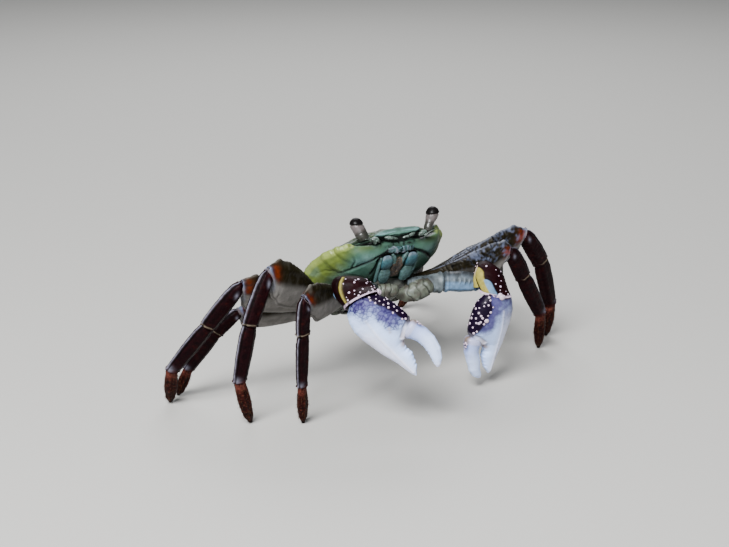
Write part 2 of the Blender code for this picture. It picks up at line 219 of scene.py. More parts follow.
def body_rings(name, first, last, aspect):
    """Return rings of points on a solid of the body, square to the body's length."""
    rings, sides = DETAIL[name]
    tree = tree_of(name, to_body(node_points(name)))
    centres = []
    for place in np.linspace(first, last, rings):
        top = tree.ray_cast(Vector((0.0, place, 1.0)), Vector((0.0, 0.0, -1.0)))
        bottom = tree.ray_cast(Vector((0.0, place, -1.0)), Vector((0.0, 0.0, 1.0)))
        centres.append((0.0, place, 0.5 * (top[0].z + bottom[0].z)))
    across, along, upward = np.eye(3)
    return cast_rings(tree, centres, [along] * rings, across, upward, sides, aspect)


def outward(grid):
    """Return the unit normals of a closed grid of rings."""
    along = np.gradient(grid, axis=0)
    around = np.roll(grid, -1, 1) - np.roll(grid, 1, 1)
    normals = np.cross(around, along)
    normals /= np.maximum(np.linalg.norm(normals, axis=2, keepdims=True), 1e-12)
    if np.sum(normals * (grid - grid.mean(axis=1, keepdims=True))) < 0.0:
        normals = -normals
    return normals


def near_path(points, path, width):
    """Return 1 on a path of points, fading over a width on both sides."""
    best = np.full(points.shape[:-1], np.inf)
    for start, end in zip(path, path[1:]):
        start, along = np.array(start), np.array(end) - np.array(start)
        share = np.clip(((points - start) @ along) / (along @ along), 0.0, 1.0)
        gap = points - start - share[..., None] * along
        best = np.minimum(best, np.einsum("...i,...i", gap, gap))
    return np.exp(-best / width**2)


def near_spot(points, middle, sizes):
    """Return 1 at a spot, fading over its three sizes."""
    gap = (points - np.array(middle)) / np.array(sizes)
    return np.exp(-np.einsum("...i,...i", gap, gap))


def wander(points, size, seed=0.0):
    """Return smooth noise from about -1 to 1, one swing over each size."""
    flat = points.reshape(-1, 3) / size + seed
    values = [noise.noise(Vector(point)) for point in flat]
    return np.array(values).reshape(points.shape[:-1])


def with_end(grid, fields, steps, at_start):
    """Close one end of a grid with rings that shrink by steps of size and reach."""
    ring, inner = (grid[0], grid[1]) if at_start else (grid[-1], grid[-2])
    centre = ring.mean(axis=0)
    way = unit(centre - inner.mean(axis=0))
    rings = [centre + (ring - centre) * size + way * reach for size, reach in steps]
    added = np.array(rings[::-1] if at_start else rings)
    grid = np.concatenate((added, grid) if at_start else (grid, added))
    closed = {}
    for key, values in fields.items():
        more = np.repeat(values[:1] if at_start else values[-1:], len(steps), axis=0)
        closed[key] = np.concatenate((more, values) if at_start else (values, more))
    return grid, closed


def capped(grid, fields, first, last):
    """Close both ends of a grid."""
    return with_end(*with_end(grid, fields, first, True), last, False)


def lifted(grid, lift, fields):
    """Return a grid raised along its normals, and its fields spread all over it."""
    fields = {key: np.broadcast_to(values, grid.shape[:2]) for key, values in fields.items()}
    return grid + outward(grid) * lift[..., None], fields


def linked(name, data):
    """Put an object with this mesh, light or camera in the scene."""
    item = bpy.data.objects.new(name, data)
    bpy.context.scene.collection.objects.link(item)
    return item


def surface(name, grid, fields, placed):
    """Make a closed mesh from rings of points, with its fields as attributes."""
    rings, sides = grid.shape[:2]
    shape = bmesh.new()
    bmesh.ops.create_grid(shape, x_segments=sides, y_segments=rings - 1, size=1.0)
    mesh = bpy.data.meshes.new(name)
    shape.to_mesh(mesh)
    seam = np.concatenate((grid, grid[:, :1]), axis=1).reshape(-1, 3)
    mesh.vertices.foreach_set("co", placed(seam).ravel())
    for key in FIELDS:
        values = fields.get(key, np.zeros((rings, sides)))
        values = np.clip(np.concatenate((values, values[:, :1]), axis=1), 0.0, 1.0)
        attribute = mesh.attributes.new(key, "FLOAT", "POINT")
        attribute.data.foreach_set("value", values.astype(np.float32).ravel())
    shape.clear()
    shape.from_mesh(mesh)
    bmesh.ops.remove_doubles(shape, verts=shape.verts, dist=WELD)
    bmesh.ops.recalc_face_normals(shape, faces=shape.faces)
    shape.to_mesh(mesh)
    shape.free()
    mesh.shade_smooth()
    return linked(name, mesh)


def placed_piece(piece, slot, material, *nodes):
    """Give a piece its material and its ride, and hide the solids it stands for. Its slot is not used."""
    piece.data.materials.append(material)
    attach(piece, "root")
    if nodes:
        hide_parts(*nodes)


def skin(name, shape, placed, slot, material, *nodes):
    """Make a piece from a closed grid and its fields."""
    placed_piece(surface(name, *shape, placed), slot, material, *nodes)


def tube(path, widths, thicks, across, sides, power=0.9):
    """Return rings of rounded sections along a path, with a width and thickness each."""
    path = np.array(path, float)
    ways = np.gradient(path, axis=0)
    angles = round_angles(sides)
    spread, rise = (np.sign(wave) * np.abs(wave) ** power for wave in (np.cos(angles), np.sin(angles)))
    rings = []
    for point, way, width, thick in zip(path, ways, widths, thicks):
        way = unit(way)
        wide = unit(across - way * (way @ across))
        thin = np.cross(way, wide)
        rings.append(point + np.outer(width * spread, wide) + np.outer(thick * rise, thin))
    return np.array(rings)


def finished(shape, name):
    """Turn a bmesh into a smooth object of one even tone."""
    mesh = bpy.data.meshes.new(name)
    bmesh.ops.recalc_face_normals(shape, faces=shape.faces)
    shape.to_mesh(mesh)
    shape.free()
    for key in FIELDS:
        attribute = mesh.attributes.new(key, "FLOAT", "POINT")
        attribute.data.foreach_set("value", [0.5 * (key == "tone")] * len(mesh.vertices))
    mesh.shade_smooth()
    return linked(name, mesh)


def turned_to(way, place):
    """Return the matrix that takes +z to a way and the origin to a place."""
    return Matrix.Translation(place) @ Vector(way).to_track_quat("Z", "Y").to_matrix().to_4x4()


def studs(name, spots, placed):
    """Make low round tubercles, joined in one mesh. A spot is a point, a normal and a radius."""
    shape = bmesh.new()
    origin = placed(np.zeros(3))
    for point, normal, radius in spots:
        size = radius * WIDTH
        matrix = turned_to(placed(normal) - origin, placed(point))
        matrix = matrix @ Matrix.Diagonal((size, size, STUD_HEIGHT * size, 1.0))
        bmesh.ops.create_icosphere(shape, subdivisions=2, radius=1.0, matrix=matrix)
    return finished(shape, name)


def bristles(name, roots, length, spread, seed):
    """Make stiff bristles, each a thin spike.

    A root is a point, a normal, a lie and its place on the unwrapped skin.
    """
    shape = bmesh.new()
    layer = shape.loops.layers.uv.new("OFBake")
    rng = np.random.default_rng(seed)
    for point, normal, lie, place in roots:
        way = normal * rng.uniform(0.4, 0.8) + lie * rng.uniform(0.8, 1.6)
        way = unit(way + spread * rng.normal(size=3))
        reach = length * rng.uniform(0.6, 1.3)
        if (in_metres(point) + way * reach)[2] < BRISTLE_FLOOR:
            continue
        matrix = turned_to(way, in_metres(point) + way * 0.42 * reach)
        made = bmesh.ops.create_cone(shape, cap_ends=True, segments=3, radius1=0.055 * length,
                                     radius2=0.0, depth=reach, matrix=matrix)
        for index, vert in enumerate(made["verts"]):
            turn = 2.0 * math.pi * index / 3.0
            patch = (place[0] + BRISTLE_PATCH * math.cos(turn), place[1] + BRISTLE_PATCH * math.sin(turn))
            for loop in vert.link_loops:
                loop[layer].uv = patch
    return finished(shape, name)


def bowed(points, count):
    """Return a smooth path of that many points through a few points."""
    points = np.array(points, float)
    padded = np.concatenate((2 * points[:1] - points[1:2], points, 2 * points[-1:] - points[-2:-1]))
    path = []
    for step in np.linspace(0.0, len(points) - 1.0, count):
        at = min(int(step), len(points) - 2)
        t = step - at
        p0, p1, p2, p3 = padded[at : at + 4]
        path.append(0.5 * (2 * p1 + (p2 - p0) * t + (2 * p0 - 5 * p1 + 4 * p2 - p3) * t**2
                           + (3 * p1 - p0 - 3 * p2 + p3) * t**3))
    return np.array(path)


# Materials. A crab's shell is layered chitin and lime under a thin waxy skin: satin,
# a little translucent where it is pale, with its colour in the upper layer.
FIELDS = ("tone", "accent", "mark", "pale", "dark")
PARTS = ("low", "high", "accent", "mark", "pale", "dark")

# The colours of each finish, in the order of PARTS.
FINISHES = {
    # The carapace's dark colour serves its dark lines and also painted shade and shadow.
    "carapace": ("#365649", "#4b5820", "#1a2017", "#587675", "#6c7838", "#030705"),
    # The mouthparts' dark colour also serves painted shade, and their pale colour a painted highlight.
    "mouthparts": ("#1e434d", "#364c48", "#26342b", "#41595f", "#6f6f7c", "#03080a"),
    "gape": ("#1b120b", "#33230f", "#332817", "#43341f", "#4f4024", "#040302"),
    "eyestalk": ("#2b2725", "#3d3735", "#262120", "#20231d", "#4e4847", "#0a0809"),
    "feeler": ("#101610", "#29362d", "#1c1e16", "#46564e", "#54645c", "#030504"),
    "sternum": ("#3e4442", "#56554d", "#3b4041", "#4f5856", "#74746b", "#0a0908"),
    "root": ("#343930", "#484b41", "#241a17", "#332d28", "#5a625c", "#040303"),
    "arm": ("#3b4145", "#546f8b", "#080403", "#5e645d", "#75828f", "#030202"),
    "wrist": ("#0c0204", "#180406", "#7d7437", "#526b84", "#a28f9f", "#030101"),
    "tubercle": ("#9c8799", "#b9a8b8", "#8a7488", "#cdbfca", "#d6cdd6", "#5a4a58"),
    # The palm's high colour is grey violet for its painted shade and violet tint, its pale colour also serves
    # a painted highlight and its dark colour a painted shadow.
    "palm": ("#b0c8f4", "#484770", "#0b0214", "#96774f", "#d6d2de", "#1d1440"),
    "finger": ("#c2d4f8", "#7f8fc4", "#0f0519", "#98805f", "#dcd4e0", "#343058"),
    # The thigh's high colour also serves painted shade on the left legs.
    "leg_merus": ("#625f5c", "#171309", "#561d08", "#525a70", "#5f5d58", "#020202"),
    # The carpus and propodus mark colour serves a pale keel line that is partly a painted highlight.
    "leg_carpus": ("#0b0103", "#180406", "#330e05", "#676672", "#5f5648", "#010101"),
    "leg_propodus": ("#0a0103", "#190406", "#2c0b04", "#676672", "#5f5648", "#010101"),
    "leg_dactyl": ("#130303", "#2b0d09", "#0a0202", "#5a2e25", "#553429", "#050101"),
    "bristle": ("#37200f", "#4c3019", "#372519", "#5a402c", "#65523d", "#1b100a"),
}

# Chitin's index of refraction, the roughness of its waxy coat, and the depth of its pits.
SHELL_IOR, COAT_ROUGHNESS, PIT_DEPTH = 1.55, 0.25, 0.0001
# How strongly the mottling moves the edges of a field.
EDGE_MOTTLE = 8.0
# The cornea's two colours, the size of its clouds and of its facets, and its index.
CORNEA_DARK, CORNEA_GREY = "#040303", "#0f0d0d"
CORNEA_CLOUD, CORNEA_FACET, CORNEA_IOR = 0.0015, 0.00008, 1.40
FLOOR_PAINT = "#9b9995"


def add_node(tree, kind, inputs=None, **settings):
    """Add a node, set its properties and fill or link its inputs."""
    made = tree.nodes.new(kind)
    for key, value in settings.items():
        setattr(made, key, value)
    for key, value in (inputs or {}).items():
        if isinstance(value, bpy.types.NodeSocket):
            tree.links.new(value, made.inputs[key])
        else:
            made.inputs[key].default_value = value
    return made


def shell_material(name, finish, roughness=0.36, grain=0.12, mottle=0.25, coat=0.12, gloss=0.5):
    """Return a shell finish: six colours laid by the mesh's fields, mottled and pitted."""
    sizes, colours = bpy.context.scene.crab_sizes, bpy.context.scene.crab_colours
    low, *others = [(*getattr(colours, f"{finish}_{part}"), 1.0) for part in PARTS]
    material = bpy.data.materials.new(name)
    material.use_nodes = True
    tree = material.node_tree
    shader = tree.nodes["Principled BSDF"]
    place = add_node(tree, "ShaderNodeTexCoord").outputs["Object"]
    mottling = add_node(tree, "ShaderNodeTexNoise", {"Vector": place, "Scale": 1.0 / sizes.mottle,
                                                     "Detail": 5.0, "Roughness": 0.6}).outputs[0]
    uneven = add_node(tree, "ShaderNodeMath", {0: mottling, 1: 0.5}, operation="SUBTRACT")
    colour = low
    for key, value in zip(FIELDS, others):
        field = add_node(tree, "ShaderNodeAttribute", attribute_name=key).outputs["Fac"]
        square = add_node(tree, "ShaderNodeMath", {0: field, 1: field}, operation="MULTIPLY")
        edge = add_node(tree, "ShaderNodeMath", {0: field, 1: square.outputs[0]}, operation="SUBTRACT")
        shift = add_node(tree, "ShaderNodeMath", {0: uneven.outputs[0], 1: edge.outputs[0]},
                         operation="MULTIPLY")
        factor = add_node(tree, "ShaderNodeMath", {0: shift.outputs[0], 1: EDGE_MOTTLE * mottle, 2: field},
                          operation="MULTIPLY_ADD", use_clamp=True)
        mix = add_node(tree, "ShaderNodeMix", {0: factor.outputs[0], 6: colour, 7: value},
                       data_type="RGBA")
        colour = mix.outputs[2]
    level = add_node(tree, "ShaderNodeMapRange", {0: mottling, 1: 0.3, 2: 0.7,
                                                  3: 1.0 - mottle, 4: 1.0 + mottle})
    scaled = add_node(tree, "ShaderNodeVectorMath", {0: colour, "Scale": level.outputs[0]},
                      operation="SCALE")
    tree.links.new(scaled.outputs[0], shader.inputs["Base Color"])
    pits = add_node(tree, "ShaderNodeTexNoise", {"Vector": place, "Scale": 1.0 / sizes.grain,
                                                 "Detail": 3.0})
    bump = add_node(tree, "ShaderNodeBump", {"Strength": grain, "Distance": PIT_DEPTH,
                                             "Height": pits.outputs[0]})
    tree.links.new(bump.outputs[0], shader.inputs["Normal"])
    shine = add_node(tree, "ShaderNodeMapRange", {0: pits.outputs[0], 1: 0.3, 2: 0.7,
                                                  3: roughness - 0.08, 4: roughness + 0.10})
    tree.links.new(shine.outputs[0], shader.inputs["Roughness"])
    shader.inputs["IOR"].default_value = SHELL_IOR
    shader.inputs["Specular IOR Level"].default_value = gloss
    shader.inputs["Coat Weight"].default_value = coat
    shader.inputs["Coat Roughness"].default_value = COAT_ROUGHNESS
    return material


# The carapace: lines and spots of its left side, in the body's frame.
BACK_LOBES = ((0.070, -0.352), (0.215, -0.335))
ORBIT_PATH = ((0.372, -0.402, 0.012), (0.335, -0.392, -0.006), (0.262, -0.389, -0.022),
              (0.195, -0.402, -0.034), (0.130, -0.424, -0.040), (0.090, -0.436, -0.036))
SUTURE_PATH = ((0.367, -0.382, 0.002), (0.354, -0.359, -0.039), (0.341, -0.337, -0.081),
               (0.321, -0.312, -0.109), (0.323, -0.260, -0.130))
MOUTH_FRAME = ((0.0, -0.366, -0.122), (0.078, -0.368, -0.121), (0.133, -0.360, -0.127),
               (0.152, -0.338, -0.140))
MOUTH_SIDE = ((0.152, -0.338, -0.140), (0.160, -0.291, -0.165), (0.172, -0.220, -0.186))
EPISTOME_EDGE = ((0.189, -0.361, -0.127), (0.145, -0.373, -0.117), (0.104, -0.383, -0.104),
                 (0.060, -0.376, -0.112), (0.0, -0.374, -0.114))
CHEEK_FURROW = ((0.189, -0.361, -0.127), (0.235, -0.339, -0.133), (0.272, -0.306, -0.135),
                (0.306, -0.269, -0.136), (0.350, -0.220, -0.132), (0.400, -0.150, -0.105))
FLANK_LINE = ((0.455, 0.120, -0.075), (0.468, 0.000, -0.062), (0.462, -0.095, -0.050),
              (0.432, -0.150, -0.066), (0.395, -0.185, -0.090))
FRONT_EDGE = ((0.215, -0.446, 0.006), (0.150, -0.452, -0.012), (0.100, -0.452, -0.004),
              (0.050, -0.454, -0.014), (0.0, -0.452, -0.008))
EPISTOME_RIDGE = ((0.0, -0.390, -0.094), (0.050, -0.390, -0.093), (0.088, -0.391, -0.086))
FOSSA_PATH = ((0.0, -0.422, -0.036), (0.050, -0.426, -0.034), (0.100, -0.429, -0.028),
              (0.157, -0.428, -0.023), (0.205, -0.425, -0.010))
BROW_FOLD = ((0.0, -0.405, -0.070), (0.10, -0.408, -0.064), (0.19, -0.400, -0.050))
BROW_LINE = ((0.0, -0.405, -0.064), (0.100, -0.408, -0.058), (0.190, -0.400, -0.046))
# Swellings of the face under the orbit and of the flank: height, place and sizes.
FACE_SWELLS = (
    (0.011, (0.250, -0.385, -0.062), (0.100, 0.050, 0.036)),
    (0.010, (0.250, -0.345, -0.112), (0.060, 0.040, 0.020)),
    (0.010, (0.410, -0.250, -0.060), (0.050, 0.090, 0.050)),
)
# Grooves between the regions of the back, seen from above, and their widths.
REGION_GROOVES = (
    (((0.0, -0.10, 0), (0.10, -0.06, 0), (0.17, -0.13, 0), (0.24, -0.22, 0)), 0.018),
    (((0.10, -0.06, 0), (0.085, 0.05, 0), (0.13, 0.16, 0), (0.10, 0.27, 0)), 0.018),
    (((0.0, -0.20, 0), (0.0, -0.37, 0)), 0.012),
)
# Teeth of the side margin: place along the body and size.
MARGIN_TEETH = ((-0.368, 0.004), (-0.322, 0.006), (-0.268, 0.006))
# How its front and its rear end close, as steps of size and reach.
CARAPACE_NOSE = ((0.985, 0.004), (0.93, 0.007), (0.80, 0.008), (0.55, 0.008), (0.25, 0.008), (0.0, 0.008))
CARAPACE_REAR = ((0.9, 0.004), (0.5, 0.006), (0.0, 0.006))


def folded(points):
    """Return points with the right side laid on the left."""
    return points * np.where(points[..., :1] < 0.0, (-1.0, 1.0, 1.0), (1.0, 1.0, 1.0))


def shifted(path, dx, dz):
    """Return a path moved along x and z."""
    return [(x + dx, y, z + dz) for x, y, z in path]


def carve_carapace(grid):
    """Return the carved carapace and its fields."""
    sizes = bpy.context.scene.crab_sizes
    normals = outward(grid)
    half = folded(grid)
    x, y, z = np.moveaxis(half, -1, 0)
    right, left = grid[..., 0] < 0, grid[..., 0] > 0
    widest = np.argmax(np.abs(grid[..., 0]), axis=1)[:, None]
    crest = softened(np.take_along_axis(z, widest, 1), 6, 0, False)
    level = ramp(y, -0.43, -0.39)
    back = ramp(z - crest, 0.004, 0.016) * (ramp(normals[..., 2], 0.45, 0.75) * (1.0 - level) + level)
    # The face: orbits, seams, the mouth's frame and the swellings between them.
    orbit = near_path(half, ORBIT_PATH, 0.015)
    hollow = near_spot(half, (0.290, -0.410, 0.014), (0.095, 0.040, 0.024))
    suture = near_path(half, SUTURE_PATH, 0.007)
    mouth = np.maximum(near_path(half, MOUTH_FRAME, 0.020), 0.8 * near_path(half, MOUTH_SIDE, 0.014))
    mouth = np.maximum(mouth, 0.75 * near_path(half, EPISTOME_EDGE, 0.010))
    cheek = near_path(half, CHEEK_FURROW, 0.010) * ramp(x, 0.42, 0.30)
    flank = near_path(half, FLANK_LINE, 0.006)
    flank_foot = shifted(FLANK_LINE, 0.0, -0.014)
    under = ramp(-normals[..., 2], 0.0, 0.3)
    palate = ramp(x, 0.160, 0.142) * ramp(y, -0.375, -0.350) * ramp(y, -0.10, -0.16) * under
    brim = shifted(ORBIT_PATH, 0.0, -0.018)
    lift = -0.036 * orbit - 0.040 * hollow - 0.010 * suture - 0.034 * mouth - 0.015 * cheek
    lift += 0.006 * near_path(half, shifted(SUTURE_PATH, -0.012, 0.0), 0.010)
    lift += 0.004 * flank - 0.016 * palate + 0.012 * near_path(half, brim, 0.008)
    lift -= 0.006 * near_path(half, flank_foot, 0.010)
    lift += 0.006 * near_path(half, EPISTOME_RIDGE, 0.016)
    for height, place, spread in FACE_SWELLS:
        lift += height * near_spot(half, place, spread)
    # Antennules fold into a hollow under the front's overhanging edge.
    fossa = near_path(half, FOSSA_PATH, 0.020)
    fossa = np.clip(fossa * (1.05 + 0.25 * wander(half, 0.02, 4.0)), 0.0, 1.0)
    edge = near_path(half, FRONT_EDGE, 0.010)
    lift += 0.004 * wander(grid, 0.022, 8.0) * near_path(half, BROW_FOLD, 0.024) - 0.026 * fossa
    lift += 0.012 * edge * ramp(x, 0.23, 0.20) * (1.0 + 0.35 * np.cos(x * 88.0))
    # The back: lobes behind the front, region grooves, and fine oblique striae.
    for lobe_x, lobe_y in BACK_LOBES:
        lift += 0.009 * back * hump(x, lobe_x, 0.055) * hump(y, lobe_y, 0.030)
    groove = sum(near_path(half * (1, 1, 0), path, width) for path, width in REGION_GROOVES)
    groove = np.clip(groove, 0.0, 1.0) * back
    slant = ramp(x, 0.06, 0.30)
    bend = 0.25 * wander(half, 0.09, 3.0) + 0.10 * wander(half, 0.03, 9.0)
    phase = (y - 0.55 * slant * (x - 0.06)) * WIDTH / sizes.stria_spacing + bend
    saw = 1.0 - phase % 1.0
    comb = 1.5 * saw**3 * ramp(1.0 - saw, 0.0, 0.18)
    broken = ramp(wander(half, 0.045, 21.0), -0.25, 0.05)
    reach = ramp(x, 0.10, 0.24) * ramp(y, 0.36, 0.22) + ramp(y, -0.17, -0.27)
    striae = back * np.clip(reach, 0.0, 1.0) * broken * ramp(y, -0.425, -0.40)
    lift += sizes.stria_depth / WIDTH * striae * comb - 0.006 * groove
    lift += 0.005 * back * ramp(y, 0.385, 0.40)
    # The side margin is a crest with a beaded edge and forward teeth.
    margin = margin_field(grid, x, y)
    beads = 0.5 + 0.5 * np.cos(y * 2.0 * np.pi / 0.014)
    lift += 0.010 * margin * (0.93 + 0.07 * beads) + 0.0008 * wander(half, 0.012, 5.0)
    slope = ramp(x, 0.20, 0.33) * ramp(y, 0.10, -0.10) * ramp(y, -0.42, -0.36)
    lift -= 0.020 * back * slope * (1.0 - margin)
    carved = grid + normals * lift[..., None]
    # The right flank swells a little more than the left, and the left orbit's corner stands up.
    swell = ramp(x, 0.30, 0.44) * hump(y, -0.17, 0.13) * right
    sag = ramp(x, 0.32, 0.46) * hump(y, 0.06, 0.12) * right * (1.0 - back)
    corner = near_spot(half, (0.385, -0.385, 0.006), (0.036, 0.050, 0.040)) * left
    carved[..., 0] -= 0.016 * swell + 0.024 * sag
    carved[..., 1] -= 0.012 * corner
    carved[..., 2] += 0.012 * swell * margin - 0.024 * sag + 0.078 * corner
    for place, size in MARGIN_TEETH:
        tooth = ramp(y, place - 0.005, place) * ramp(y, place + 0.022, place) * ramp(margin, 0.6, 1.0)
        carved += size * tooth[..., None] * np.where(grid[..., :1] < 0, (-0.5, -0.4, 0.7), (0.5, -0.4, 0.7))
    # Colours: yellow green on the outer flank and under the eyes, teal towards the mouth.
    cloud = wander(half, 0.10, 2.0)
    side_on = 1.0 - back
    yellow = ramp(x + 0.35 * (z + 0.06), 0.28, 0.42) * ramp(z, -0.21, -0.09)
    yellow = np.maximum(yellow, 0.80 * near_spot(half, (0.255, -0.400, -0.044), (0.105, 0.06, 0.030)))
    blue = near_spot(half, (0.262, -0.330, -0.116), (0.070, 0.055, 0.026))
    tone = np.where(back > 0.5, 0.30 + 0.2 * wander(half, 0.12, 6.0),
                    np.clip(yellow + 0.18 * cloud, 0.0, 1.0) * (1.0 - 0.9 * blue))
    front = ramp(y, -0.405, -0.425) * ramp(z, -0.012, 0.002) * ramp(x, 0.26, 0.21) * (1.0 - 0.7 * back)
    mark = 0.95 * front + 0.35 * near_path(half, brim, 0.007) + 0.75 * blue + 0.7 * corner
    mark += 0.60 * near_spot(half, (0.352, -0.395, 0.006), (0.028, 0.026, 0.014))
    mark += 0.25 * ramp(cloud, 0.1, 0.5) * side_on
    pale = 0.75 * ramp(margin, 0.4, 0.9) + 0.20 * flank + 0.35 * back * striae * comb**2
    pale += 0.6 * near_spot(half, (0.469, 0.070, -0.060), (0.008, 0.010, 0.010)) * right
    # Painted shade in the orbits, in the hollow by each orbit and round the mouth's frame.
    dark = ramp(orbit, 0.25, 0.70) + ramp(hollow, 0.45, 0.85) + 0.65 * suture + ramp(mouth, 0.20, 0.65)
    # Painted shadow in the hollow under the front's overhanging edge.
    dark += 0.95 * cheek + 0.30 * groove + 0.97 * ramp(fossa, 0.12, 0.46) * (1.0 - edge)
    # Painted shade under the orbit.
    dark += 0.42 * near_spot(half, (0.245, -0.392, -0.054), (0.100, 0.050, 0.026))
    # Painted shadow in an uneven band along the brow, under the front's edge.
    brow = near_path(half, BROW_LINE, 0.020)
    dark += 0.42 * brow * (0.8 + 0.6 * wander(half, 0.03, 7.0))
    dark += 0.6 * brow * ramp(wander(grid, 0.016, 3.0), 0.15, 0.45)
    # Painted shade on the underside beside the mouth.
    dark += 0.30 * ramp(x, 0.20, 0.10) * ramp(z, -0.045, -0.075) * under
    # Painted shade on the left side, away from the key light, below the margin.
    dark += 0.40 * ramp(grid[..., 0], 0.12, 0.22) * side_on * ramp(z, -0.02, -0.06)
    # Painted shade low on both flanks.
    dark += 0.35 * ramp(z, -0.14, -0.20) * side_on * ramp(x, 0.16, 0.24)
    dark += 0.30 * near_path(half, flank_foot, 0.007) + 0.7 * striae * hump((saw + 0.47) % 1.0, 0.5, 0.14)
    accent = back * np.clip(0.85 + 0.2 * wander(half, 0.05, 4.0), 0.0, 1.0)
    accent *= (1.0 - 0.6 * margin) * (1.0 - 0.8 * front)
    return carved, {"tone": tone, "accent": accent, "mark": mark, "pale": pale, "dark": dark}


def margin_field(grid, x, y):
    """Return 1 on the crest of each side margin."""
    spread = np.abs(grid[..., 0])
    widest = spread.max(axis=1, keepdims=True)
    behind = ramp(y, 0.44, 0.38) * ramp(y, -0.40, -0.37)
    return hump(spread, widest, 0.010) * behind * ramp(x, 0.20, 0.26)


def build_carapace():
    """Make the carapace's shell."""
    grid = body_rings("carapace", -0.4432, 0.4392, (0.46, 0.14))
    shape = capped(*carve_carapace(grid), CARAPACE_NOSE, CARAPACE_REAR)
    finish = shell_material("Crab_Carapace", "carapace", 0.44, mottle=0.20, coat=0.0, gloss=0.28)
    skin("carapace_skin", shape, from_body, "carapace", finish, "carapace")


# Legs.
def meeting(first, second, reach=0.0016):
    """Return the middle of the joint between two neighbouring solids, in shares."""
    one, other = node_points(first), node_points(second)
    gaps = np.linalg.norm(one[:, None, :] - other[None, :, :], axis=2)
    near = np.concatenate((one[gaps.min(axis=1) < reach], other[gaps.min(axis=0) < reach]))
    return near.mean(axis=0) / WIDTH


def far_end(name, joint):
    """Return the middle of a solid's other end, in shares."""
    points = node_points(name) / WIDTH
    way = unit(points.mean(axis=0) - joint)
    reach = (points - joint) @ way
    return points[reach > reach.max() - 0.02].mean(axis=0)


def leg_joints(side, number):
    """Return a leg's five joints, hip to tip, in shares."""
    names = [f"leg{number}_{segment}_{side}" for segment in SEGMENTS]
    joints = [meeting(a, b) for a, b in zip(names, names[1:])]
    hip = far_end(names[0], joints[0])
    tip = far_end(names[-1], joints[-1])
    return [hip, *joints, tip]


def limb_grid(name, start, end, upward, first, last, rings, sides, aspect):
    """Return a limb segment's rings, which turn into its joints' planes at the ends."""
    along = unit(end - start)
    upward = unit(upward - along * (along @ upward))
    length = np.linalg.norm(end - start)
    blend = min(JOINT_BLEND, 0.45 * length)
    inset = JOINT_INSET / length
    centres, normals = [], []
    for share in np.linspace(inset, 1.0 - inset, rings):
        near_start = max(0.0, 1.0 - share * length / blend)
        near_end = max(0.0, 1.0 - (1.0 - share) * length / blend)
        centres.append(start + (end - start) * share)
        normals.append(along * (1.0 - near_start - near_end) + first * near_start + last * near_end)
    tree = tree_of(name, node_points(name) / WIDTH)
    return cast_rings(tree, centres, normals, np.cross(along, upward), upward, sides, aspect, 3)


def laid_out(grid, side=None):
    """Return the share along a grid's rings and the angle round them, in degrees.

    With a side, the angle runs from a limb's outer edge, positive towards the front.
    """
    rings, sides = grid.shape[:2]
    turn = (360.0 * np.arange(sides) / sides)[None, :]
    if side:
        turn = (turn - 90.0 + 180.0) % 360.0 - 180.0
    return shares(rings)[:, None], -turn if side == "left" else turn


def ridge(turn, middle, width):
    """Return 1 along a line at one angle round a limb."""
    return hump((turn - middle + 180.0) % 360.0 - 180.0, 0.0, width)


